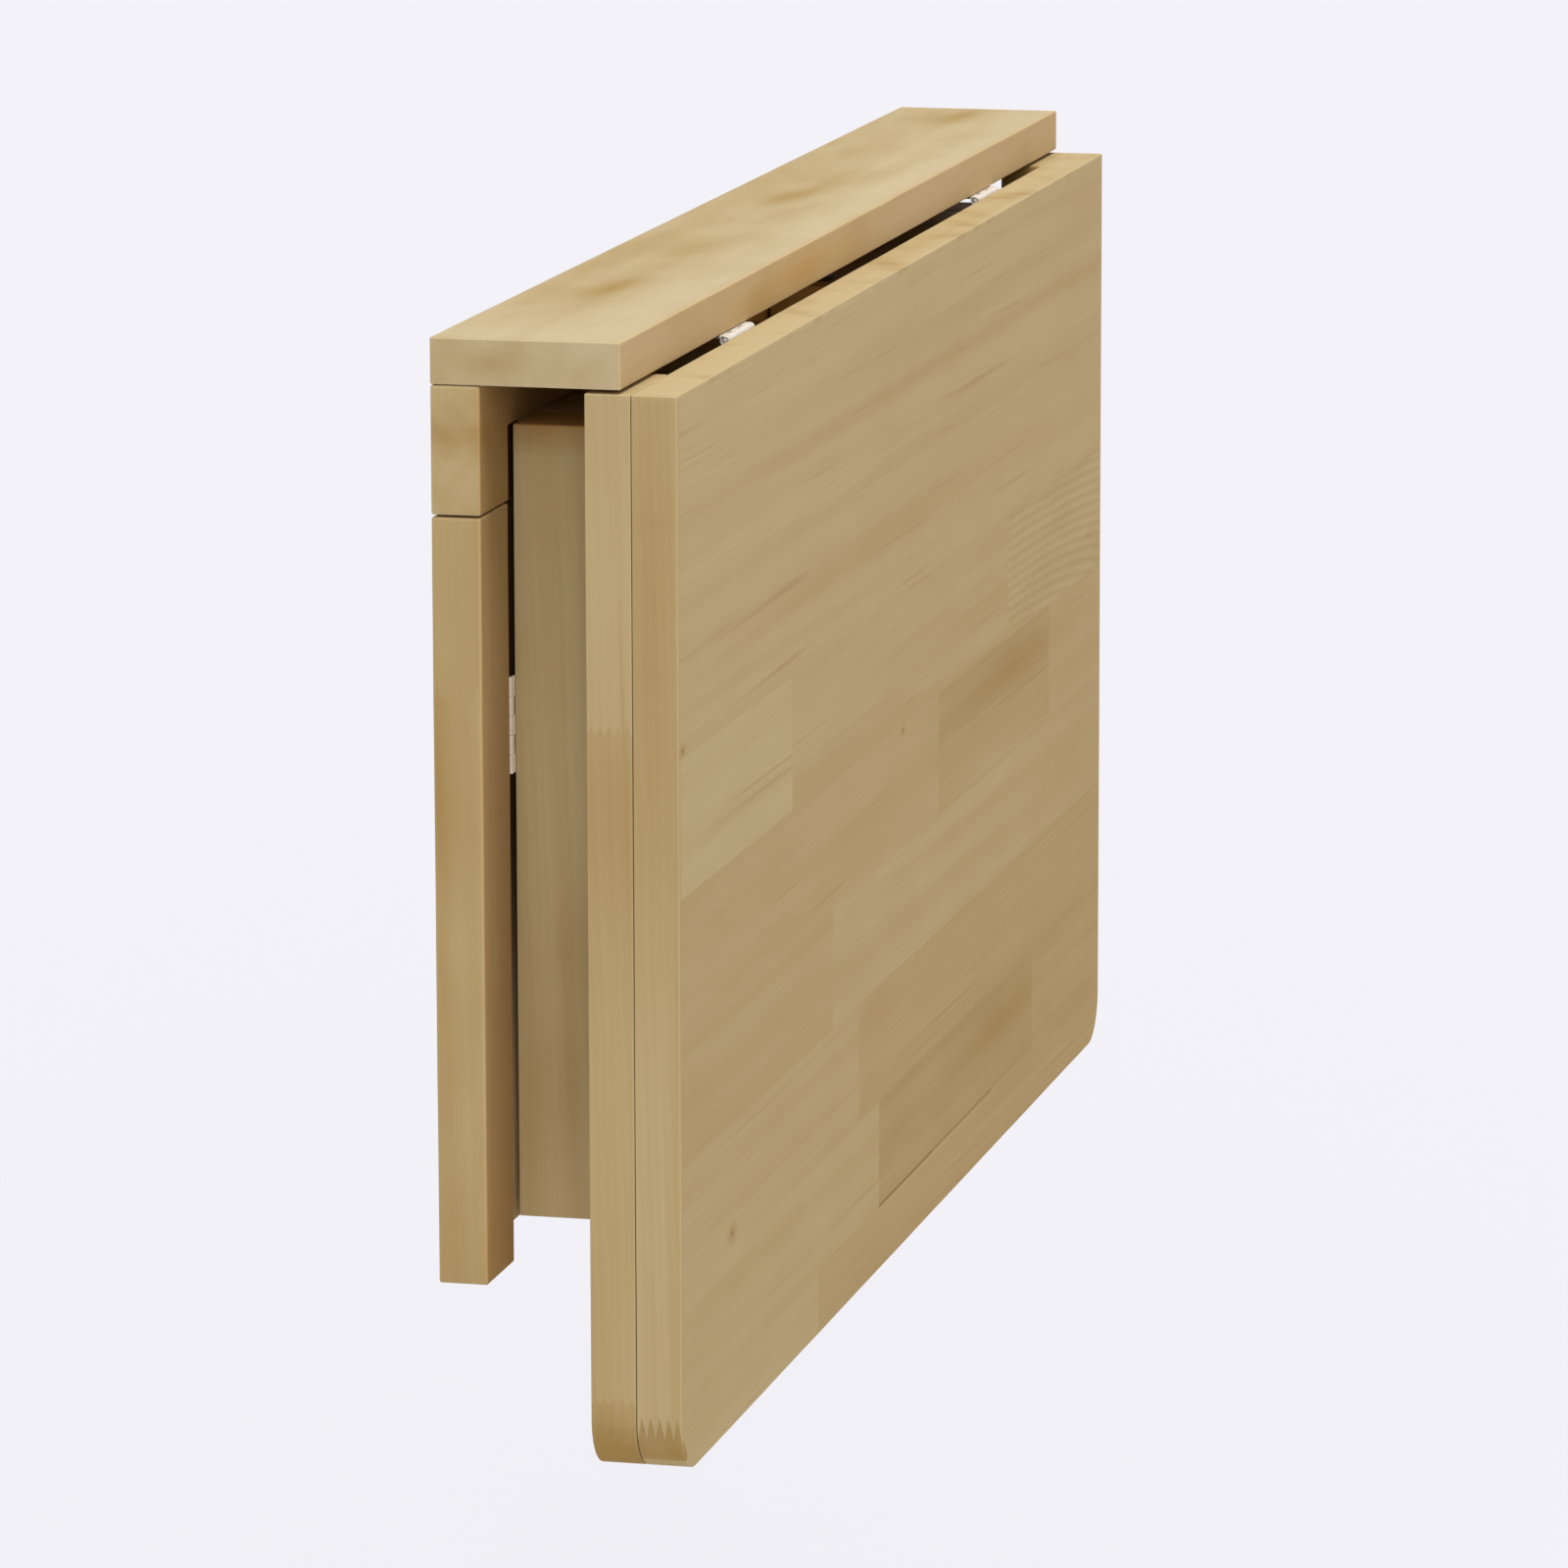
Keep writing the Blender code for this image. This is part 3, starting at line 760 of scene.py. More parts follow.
@dataclass(frozen=True)
class StavePlan:
    """How a board is glued up: its staves, finger joints and soft spots."""

    staves: tuple[Stave, ...]
    teeth: tuple[Teeth, ...] = ()
    patches: tuple[Patch, ...] = ()
    seam: float = 0.30
    seam_reach: float = 0.00045
    rubbed: float = 0.25

    def lines(self, axis: int, size: float) -> Array:
        """Give the grid lines that the staves and joints need.

        Args:
            axis: 0 for along, 1 for across.
            size: the board's size on that axis.

        Returns:
            Places from 0 to the size.
        """
        ends = np.array([(s.along, s.across)[axis] for s in self.staves]).ravel()
        found = [ends]
        if axis == 1:
            found += [ends - self.seam_reach, ends + self.seam_reach]
        for joint in self.teeth:
            if joint.axis == axis:
                drawn = joint.length * FINGER_REACH
                found.append(joint.at + drawn * np.array([-1.0, -0.5, 0.5, 1.0]))
        places = np.concatenate(found)
        return places[(places > 0) & (places < size)]

    def shifted(self, points: Array, thickness: float) -> Array:
        """Draw the finger joints: each cut moves to and fro by half a tooth through the board.

        The shift is a triangle wave of the depth, with one wave for each tooth, and it dies away
        evenly on both sides of the cut, so that the grid doesn't fold.

        Args:
            points: the board's points before its edges are eased.
            thickness: the board's thickness.

        Returns:
            The points with the joints' cuts moved.
        """
        moved = points.copy()
        for joint in self.teeth:
            other = points[:, 1 - joint.axis]
            wave = np.mod(points[:, 2] / thickness * joint.count, 1.0)
            wave = 1 - 2 * np.abs(2 * wave - 1)
            near = 1 - np.abs(points[:, joint.axis] - joint.at) / (FINGER_REACH * joint.length)
            low, high = joint.within
            hit = (other > low - SAME_PLACE) & (other < high + SAME_PLACE)
            moved[:, joint.axis] += joint.length / 2 * wave * np.clip(near, 0, 1) * hit
        return moved

    def attributes(self, flat: Array, eased: Array, quads: Array, size: Array,
                   ease: float) -> dict[str, Array]:
        """Work out what each face corner carries for the finish.

        A point's second smallest distance from the box's sides is how far it is from an arris,
        and the arrises are painted a little paler: rubbed wear and a painted highlight.

        Args:
            flat: points before easing, which tell the staves apart.
            eased: points after easing, in the board's own axes.
            quads: the faces.
            size: the board's size along, across and through.
            ease: how far the sanding reaches in from an arris.

        Returns:
            Corner vectors by attribute name: grain, stave and joint.
        """
        middle = np.clip(flat[quads].mean(1), SAME_PLACE, size - SAME_PLACE)
        low, high = (np.array([(s.along[n], s.across[n]) for s in self.staves]) for n in range(2))
        inside = (middle[:, None, :2] >= low) & (middle[:, None, :2] <= high)
        which = np.argmax(inside.all(-1), 1)[:, None].repeat(4, 1)

        def pick(name: str) -> Array:
            """Give each face corner a value of its stave."""
            return np.array([getattr(stave, name) for stave in self.staves], float)[which]

        corner, border = eased[quads], flat[quads]
        upright = pick("upright") > 0
        run = np.where(upright, corner[..., 1], corner[..., 0])
        cross = np.where(upright, corner[..., 0], corner[..., 1])
        pith, drift, spread = pick("pith"), pick("drift"), pick("spread")
        grain = np.stack([
            run + STAVE_SHIFT * which,
            (cross - pick("breadth").mean(-1) - pith[..., 0] - drift[..., 0] * run) / spread,
            (corner[..., 2] - pith[..., 1] - drift[..., 1] * run) / spread,
        ], -1)

        ends, tints = pick("run"), pick("tint")
        share = np.clip((run - ends[..., 0]) / (ends[..., 1] - ends[..., 0]), 0, 1)
        tint = tints[..., 0] + (tints[..., 1] - tints[..., 0]) * share
        blush = pick("blush")
        for spot in self.patches:
            bell = spot.bell(corner)
            tint, blush = tint + spot.tint * bell, blush + spot.blush * bell
        arris = np.sort(np.minimum(border, size - border), -1)[..., 1]
        # Arrises painted paler: rubbed wear together with a painted highlight along each edge.
        tint = tint - self.rubbed * np.clip(RUBBED_HIGHLIGHT_REACH - arris / ease, 0, 1)

        edge = pick("across")
        inner = (edge > SAME_PLACE) & (edge < size[1] - SAME_PLACE)
        on_edge = ((np.abs(border[..., 1:2] - edge) < SAME_PLACE) & inner).any(-1) & ~upright
        stain = pick("stain") * (corner[..., 2] < STAIN_AND_SHADE_DEPTH)
        return {
            "grain": grain,
            "stave": np.stack([tint, blush, pick("figure")], -1),
            "joint": np.stack([on_edge * self.seam, pick("calm"), stain], -1),
        }


def random_plan(seed: int, length: float, width: float, rows: int = 1,
                tint: Pair = (0.2, 0.5), run: float = 0.30) -> StavePlan:
    """Glue up a board from staves of random length and tint.

    Args:
        seed: start of the random draws.
        length: the board's length.
        width: the board's width.
        rows: staves side by side.
        tint: the palest and the darkest tint.
        run: a stave's usual length.

    Returns:
        The plan.
    """
    rng = np.random.default_rng(seed)
    staves, teeth = [], []
    edges = np.linspace(0, width, rows + 1)
    for low, high in zip(edges, edges[1:]):
        first, pitch = run * rng.uniform(0.45, 1.0), run * rng.uniform(0.8, 1.1)
        cuts = np.arange(first, length - SHORTEST_STAVE, pitch)
        bounds = [0.0, *cuts.tolist(), length]
        for start, end in zip(bounds, bounds[1:]):
            shade = rng.uniform(*tint)
            staves.append(Stave(
                along=(start, end), across=(float(low), float(high)),
                tint=(shade + rng.uniform(-0.05, 0.05), shade + rng.uniform(-0.05, 0.05)),
                blush=rng.uniform(0.0, 0.25), figure=rng.uniform(0.3, 0.8),
                pith=(rng.uniform(-0.05, 0.05), rng.choice([-1, 1]) * rng.uniform(0.02, 0.06)),
                drift=(rng.uniform(-0.02, 0.02), rng.uniform(-0.05, 0.05))))
        teeth += [Teeth(0, cut, (float(low), float(high))) for cut in bounds[1:-1]]
    return StavePlan(tuple(staves), tuple(teeth))


@dataclass(frozen=True)
class ScrewHole:
    """A countersunk hole through a board: its place and radii, and which face has the sink.

    A square block of the face, cut into so many steps on a side, makes room for it.
    """

    middle: Pair
    radius: float
    sink: float
    sink_depth: float
    low_face: bool
    block: float
    steps: int = 6


@dataclass
class Board:
    """A sanded board: a slab with rounded corners, eased edges and staves.

    Its own axes run along the grain, across it and through the thickness. The surface is that of
    a box cut into a grid. Near an edge, a point's distances past the inner box are scaled to the
    easing radius, which turns the square edge into a round. Near a corner, the square of the
    corner's radius is drawn into a quarter disc the same way.
    """

    name: str
    low: Array
    high: Array
    axes: tuple[int, int, int]
    plan: StavePlan
    ease: float = 0.0005
    corners: tuple[float, float, float, float] = (0.0, 0.0, 0.0, 0.0)
    holes: tuple[ScrewHole, ...] = ()
    pitch: Triple = (0.012, 0.012, 0.020)
    arc_steps: int = 3
    bend: Callable[[Array], Array] | None = None
    size: Array = field(init=False)

    def __post_init__(self) -> None:
        """Work out the size along, across and through."""
        self.size = (np.array(self.high) - np.array(self.low))[list(self.axes)]

    def _arc_lines(self, radius: float, steps: int) -> Array:
        """Distances from an edge that cut its round into equal angles: radius times 1 - tan."""
        return radius * (1 - np.tan(np.linspace(0, np.pi / 4, steps + 1)))

    def _lines(self, axis: int) -> Array:
        """Grid lines on one axis: rounds, staves, holes, and an even fill between them.

        Args:
            axis: 0 along, 1 across, 2 through.

        Returns:
            Sorted places from 0 to the size.
        """
        size = self.size[axis]
        near = [self._arc_lines(self.ease, self.arc_steps), [RUBBED_HIGHLIGHT_REACH * self.ease]]
        if axis < 2:
            near.append(self._arc_lines(self._corner(0.0), self.arc_steps))
            near += [self._arc_lines(r, 4 * self.arc_steps) for r in self.corners if r > 0]
        near = np.concatenate(near)
        found = [near, size - near]
        if axis < 2:
            found.append(self.plan.lines(axis, size))
            for hole in self.holes:
                reach = np.linspace(-hole.block, hole.block, hole.steps + 1)
                found.append(hole.middle[axis] + reach)
        else:
            counts = {joint.count for joint in self.plan.teeth}
            found += [np.linspace(0, size, 2 * count + 1) for count in counts]
        lines = np.unique(np.round(np.concatenate(found), DECIMALS))
        lines = lines[(lines >= 0) & (lines <= size + ON_FACE)]
        gaps = np.diff(lines)
        fills = np.ceil(gaps / self.pitch[axis]).astype(int)
        filled = [np.linspace(start, start + gap, count, endpoint=False)
                  for start, gap, count in zip(lines, gaps, fills)]
        return np.concatenate([*filled, lines[-1:]])

    def _corner(self, radius: float) -> float:
        """A corner's radius in the board's outline, which is never quite sharp."""
        return max(radius, CORNER_EASE * self.ease)

    def _drilled(self, shell: Shell, hole: ScrewHole) -> Shell:
        """Replace a square block of both faces by a countersunk hole.

        Each ring of the hole runs from the square's rim to a circle at the same angle, down the
        sink's cone and the bore, and out to the square on the other face.

        Args:
            shell: the board's surface.
            hole: the hole.

        Returns:
            The surface with the hole.
        """
        thick = self.size[2]
        away = shell.points[:, :2] - hole.middle
        reach = np.abs(away).max(1)
        on_face = [np.abs(shell.points[:, 2] - level) < ON_FACE for level in (thick, 0.0)]
        middle = shell.points[shell.quads].mean(1)
        covered = (np.abs(middle[:, :2] - hole.middle).max(1) < hole.block) & (
            (middle[:, 2] > thick - ON_FACE) | (middle[:, 2] < ON_FACE))
        rims = []
        for face in on_face:
            rim = np.flatnonzero(face & (np.abs(reach - hole.block) < SAME_PLACE))
            rims.append(rim[np.argsort(np.arctan2(away[rim, 1], away[rim, 0]))])
        around = shell.points[rims[0], :2] - hole.middle
        unit = around / np.linalg.norm(around, axis=1, keepdims=True)
        levels = [(hole.sink, thick), (hole.radius, thick - hole.sink_depth), (hole.radius, 0.0)]
        if hole.low_face:
            levels = [(hole.radius, thick), (hole.radius, hole.sink_depth), (hole.sink, 0.0)]
        half_way = [(around + unit * levels[n][0]) / 2 for n in (0, -1)]
        rings = [half_way[0], *(unit * radius for radius, _ in levels), half_way[1]]
        heights = [thick, *(level for _, level in levels), 0.0]
        new = [np.column_stack([hole.middle + ring, np.full(len(ring), height)])
               for ring, height in zip(rings, heights)]
        count = len(around)
        start = len(shell.points)
        added = (start + count * n + np.arange(count) for n in range(len(new)))
        numbers = [rims[0], *added, rims[1]]
        strips = [np.stack([a, np.roll(a, -1), np.roll(b, -1), b], -1)
                  for a, b in zip(numbers, numbers[1:])]
        return Shell(np.concatenate([shell.points, *new]),
                     np.concatenate([shell.quads[~covered], *strips]))

    def _eased(self, points: Array) -> Array:
        """Round the edges and corners.

        The easing varies a little by two sines of the place, as sanding by hand does.

        Args:
            points: points on the square box, in the board's axes.

        Returns:
            The points moved onto the sanded surface.
        """
        (length, width, thick), moved = self.size, points.copy()
        u, v, w = points.T
        sanding = sum((depth * np.sin(a * u + b * v) for depth, a, b in SANDING), start=1.0)
        ease = self.ease * np.clip(sanding, *SANDING_SPAN)
        sides = np.stack([u, width - v, length - u, v])
        inset, depth = sides.min(0), np.minimum(w, thick - w)
        past, over = np.clip(ease - inset, 0, None), np.clip(ease - depth, 0, None)
        both = (past > 0) & (over > 0)
        shrink = np.where(both, ease / np.maximum(np.hypot(past, over), NO_LENGTH), 1.0)
        new_inset = np.where(both, ease - past * shrink, inset)
        new_depth = np.where(both, ease - over * shrink, depth)
        moved[:, 2] = np.where(w < thick / 2, new_depth, thick - new_depth)

        near = [sides.argmin(0) == n for n in range(4)]
        moved[:, 0] = np.where(near[0], new_inset, np.where(near[2], length - new_inset, u))
        moved[:, 1] = np.where(near[3], new_inset, np.where(near[1], width - new_inset, v))
        places = [(0.0, 0.0), (length, 0.0), (length, width), (0.0, width)]
        for (corner_u, corner_v), given in zip(places, self.corners):
            radius = self._corner(given)
            way_u, way_v = (1 if corner_u == 0 else -1), (1 if corner_v == 0 else -1)
            out_u = radius - way_u * (u - corner_u)
            out_v = radius - way_v * (v - corner_v)
            hit = (out_u > 0) & (out_v > 0)
            scale = (radius - new_inset) / np.maximum(np.hypot(out_u, out_v), NO_LENGTH)
            moved[hit, 0] = (corner_u + way_u * (radius - out_u * scale))[hit]
            moved[hit, 1] = (corner_v + way_v * (radius - out_v * scale))[hit]
        return moved

    def surface(self) -> tuple[Shell, Array]:
        """Cut the box's sides into faces, drill the holes, draw the joints and ease the edges.

        Returns:
            The square surface with its holes, and where its points go, in the board's axes.
        """
        lines = [self._lines(axis) for axis in range(3)]
        shell = block_shell(lines, np.ones([len(line) - 1 for line in lines], bool))
        for hole in self.holes:
            shell = self._drilled(shell, hole)
        return shell, self._eased(self.plan.shifted(shell.points, self.size[2]))

    def build(self) -> bpy.types.Object:
        """Build the board's mesh with what its finish reads.

        Returns:
            The board's object.
        """
        shell, local = self.surface()
        if self.bend is None:
            world = np.empty_like(local)
            world[:, list(self.axes)] = local + np.array(self.low)[list(self.axes)]
        else:
            world = self.bend(local)
        turned = Shell(world, shell.quads).outward()
        made = mesh_object(self.name, turned)
        carried = self.plan.attributes(shell.points, local, turned.quads, self.size, self.ease)
        for name, values in carried.items():
            layer = made.data.attributes.new(name, "FLOAT_VECTOR", "CORNER")
            layer.data.foreach_set("vector", values.astype(np.float32).ravel())
        return made


class Table:
    """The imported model: which body and material slot each solid has, and its box."""

    def __init__(self) -> None:
        """Load the frame."""
        self.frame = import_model()
        record = self.frame["record"]
        self.body = {node: body for body, nodes in record["behaviour"]["bodies"].items()
                     for node in nodes}
        self.slots = {part["node"]: part["material_slot"] for part in record["subparts"]}

    def box(self, node: str) -> tuple[Array, Array]:
        """Give a solid's lowest and highest corners."""
        low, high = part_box(node)
        return np.array(low), np.array(high)

    def size(self, node: str, axes: tuple[int, ...]) -> Array:
        """Give a solid's sizes on some axes."""
        low, high = self.box(node)
        return (high - low)[list(axes)]

    def stand_in(self, piece: bpy.types.Object, node: str, finish: bpy.types.Material) -> None:
        """Let a finished piece stand for a solid, on its body and in its finish.

        Args:
            piece: the finished piece, in place.
            node: the solid that it stands for.
            finish: its material.
        """
        piece.data.materials.append(finish)
        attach(piece, self.body[node])
        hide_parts(node)
        LOG.info("%s on %s: %d faces", piece.name, self.body[node], len(piece.data.polygons))

    def dress(self, node: str, finish: bpy.types.Material) -> None:
        """Give a solid that stays as it is a better material.

        Args:
            node: the solid.
            finish: its material.
        """
        mesh = self.frame["nodes"][node].data
        mesh.materials.clear()
        mesh.materials.append(finish)
        LOG.info("%s keeps its solid", node)

    def board(self, node: str, axes: tuple[int, int, int], plan: StavePlan,
              finish: bpy.types.Material, short: float = 0.0, **settings: Any) -> None:
        """Let a sanded board stand for a solid.

        Args:
            node: the solid, whose box the board fills.
            axes: the part's axes along the board, across it and through it.
            plan: how the board is glued up.
            finish: its material.
            short: how far its top stays below the solid's.
            settings: the board's other fields.
        """
        low, high = self.box(node)
        made = Board(f"{node}_finished", low, high - (0.0, 0.0, short), axes, plan, **settings)
        self.stand_in(made.build(), node, finish)


@dataclass
class WallFrame:
    """Shelf, rail, two posts and the strips beside them, which stay on the wall."""

    table: Table
    wall_holes: tuple[float, ...] = (-0.24, -0.08, 0.08, 0.24)
    hole_radius: float = 0.0036
    hole_sink: float = 0.0065
    hole_block: float = 0.012
    pocket_gap: float = 0.0002
    frame_ease: float = 0.0008
    post_gap: float = 0.0005
    shelf_pitch: Triple = (0.005, 0.0025, 0.0025)

    def shelf_plan(self) -> StavePlan:
        """Shelf of one wide stave with soft brown spots on top and a warmer front.

        A spot is its place along and across, its reach along and across, and its tint.

        Returns:
            The plan.
        """
        length, width = self.table.size("top_shelf", (0, 1))
        staves = (Stave((0.0, length), (0.0, width), (0.28, 0.32), 0.03, 0.3, (0.01, -0.05)),)
        spots = (
            (0.140, 0.041, 0.030, 0.007, 0.30), (0.165, 0.045, 0.034, 0.008, 0.24),
            (0.150, 0.044, 0.080, 0.018, 0.16), (0.440, 0.044, 0.038, 0.007, 0.32),
            (0.472, 0.040, 0.036, 0.006, 0.22), (0.440, 0.046, 0.090, 0.018, 0.14),
            (0.745, 0.041, 0.030, 0.009, 0.32), (0.768, 0.036, 0.030, 0.008, 0.20),
            (0.740, 0.044, 0.070, 0.018, 0.12), (0.270, 0.038, 0.034, 0.012, 0.20),
            (0.350, 0.022, 0.030, 0.010, 0.10), (0.600, 0.055, 0.055, 0.012, 0.20),
            (0.330, 0.058, 0.150, 0.018, 0.18), (0.640, 0.026, 0.080, 0.018, -0.10),
        )
        patches = (
            *(Patch((along, across), (long, wide), tint, ragged=0.35)
              for along, across, long, wide, tint in spots),
            Patch((0.40, width), (0.60, 0.022), 0.10),
            Patch((0.54, width), (0.060, 0.030), 0.16),
            # These two spots paint a sheen: the top paler along its front and near its near end.
            Patch((0.40, 0.004), (0.60, 0.015), -0.26),
            Patch((0.02, 0.040), (0.060, 0.060), -0.24),
            Patch((0.0, 0.053), (0.002, 0.009), 0.36, 0.0, (0.0080, 0.0055)),
            Patch((0.0, 0.040), (0.002, 0.2), 0.22),
            Patch((0.40, 0.0), (3.0, 0.0009), 0.10, 0.60),
            Patch((0.215, 0.0), (0.026, 0.0009), 0.46, 0.20, (0.006, 0.006)),
            Patch((0.290, 0.0), (0.045, 0.0009), 0.42, 0.55, (0.008, 0.007)),
            Patch((0.370, 0.0), (0.040, 0.0009), 0.16, 0.25, (0.009, 0.008)),
            Patch((0.500, 0.0), (0.090, 0.0009), -0.20, -0.10, (0.006, 0.009)),
            Patch((0.110, 0.0), (0.050, 0.0009), -0.14, 0.0, (0.005, 0.006)),
        )
        return StavePlan(staves, (), patches, seam=0.0)

    def rail_plan(self) -> StavePlan:
        """Rail of one stave row; painted shadow runs up its front from the strips to the gates'
        top.

        Returns:
            The plan.
        """
        low, high = self.table.box("back_rail")
        length, height = (high - low)[[0, 2]]
        strip_low, strip_high = self.table.box("left_post_strip")
        near, far = strip_low[0] - low[0], strip_high[0] - low[0]
        cuts = (0.0, 0.31, 0.58, length)
        top = self.table.box("left_gate_stile")[1][2] - low[2]
        wood = dict(blush=0.04, figure=0.4, pith=(0.03, -0.04))
        painted_shadow_bands = ((near, far), (length - far, length - near))
        staves = (
            # Painted shadow: bands as dark as the strips run up the rail's front beside each gate.
            *(Stave(span, (0.0, top), (0.4, 0.4), stain=1.0, **wood) for span in painted_shadow_bands),
            *(Stave(span, (0.0, height), (tint, tint), **wood)
              for span, tint in zip(zip(cuts, cuts[1:]), (0.38, 0.48, 0.36))),
        )
        teeth = tuple(Teeth(0, cut, (0.0, height)) for cut in cuts[1:-1])
        patches = (
            Patch((0.0, 0.0313), (0.02, 0.0062), 0.36),
            # Painted shade: the rail's front, in shade behind the gates, is painted darker and
            # warmer.
            Patch((0.4, 0.025), (0.9, 0.2), 0.12, 0.80, (0.0, 0.0010)),
        )
        return StavePlan(staves, teeth, patches)

    def post_plan(self, side: Side) -> StavePlan:
        """Post of one stave; the left one has a darker stretch below a joint.

        Args:
            side: the post's end of the table.

        Returns:
            The plan.
        """
        width, height = self.table.size(f"{side.value}_post", (0, 2))
        if side is Side.RIGHT:
            return random_plan(23, height, width)
        joint = height - 0.069
        staves = (
            Stave((0.0, joint), (0.0, width), (0.54, 0.50), 0.03, 0.5, (0.03, -0.03)),
            Stave((joint, height), (0.0, width), (0.50, 0.64), 0.04, 0.4, (-0.03, 0.04)),
        )
        patches = (
            Patch((joint - 0.034, 0.0), (0.036, 0.04), 0.12, 0.05),
            Patch((joint - 0.034, 0.0), (0.040, 0.02), 0.24, 0.0, (0.0195, 0.010)),
            # Painted light: the left post's shaded front is painted paler and pinker, as warm light
            # bounced into shade.
            Patch((0.15, 0.02), (0.9, 0.2), -0.26, 0.75, (0.0, 0.0010)),
            Patch((0.22, 0.02), (0.07, 0.2), -0.28, 0.0, (0.0, 0.0010)),
            Patch((0.0, 0.02), (0.03, 0.2), 0.30, 0.0, (0.0, 0.0010)),
        )
        return StavePlan(staves, (Teeth(0, joint, (0.0, width), 0.006),), patches)

    def strip(self, side: Side) -> bpy.types.Object:
        """Strip beside a post, with a pocket for the gate hinge's plate and knuckles.

        The strip's box is cut into blocks by the pocket's sides. The pocket's blocks are left out,
        and the surface is every block side that has wood on one hand only.

        Args:
            side: the post's end of the table.

        Returns:
            The strip's object.
        """
        node = f"{side.value}_post_strip"
        low, high = self.table.box(node)
        plate_low, plate_high = self.table.box(f"{side.value}_gate_hinge_post_plate")
        gap = self.pocket_gap
        inner = plate_high[0] + gap if side is Side.LEFT else plate_low[0] - gap
        lines = [
            np.array([low[0], inner, high[0]]),
            np.array([low[1], plate_high[1] + gap, high[1]]),
            np.array([low[2], plate_low[2] - gap, plate_high[2] + gap, high[2]]),
        ]
        wood = np.ones((2, 2, 3), bool)
        wood[0 if side is Side.LEFT else 1, 0, 1] = False
        return mesh_object(f"{node}_finished", block_shell(lines, wood))

    def build(self, finishes: Finishes) -> None:
        """Build and dress the boards.

        Args:
            finishes: the shared materials.
        """
        self.table.board("top_shelf", LEVEL, self.shelf_plan(), finishes.shelf,
                         pitch=self.shelf_pitch)
        low, _ = self.table.box("back_rail")
        holes = tuple(
            ScrewHole((x - low[0], -low[2]), self.hole_radius, self.hole_sink,
                      self.hole_sink - self.hole_radius, True, self.hole_block)
            for x in self.wall_holes)
        self.table.board("back_rail", ALONG_X, self.rail_plan(), finishes.frame,
                         ease=self.frame_ease, holes=holes)
        for side in Side:
            self.table.stand_in(self.strip(side), f"{side.value}_post_strip", finishes.strip)
            self.table.board(f"{side.value}_post", ALONG_Z, self.post_plan(side), finishes.frame,
                             self.post_gap, ease=self.frame_ease)


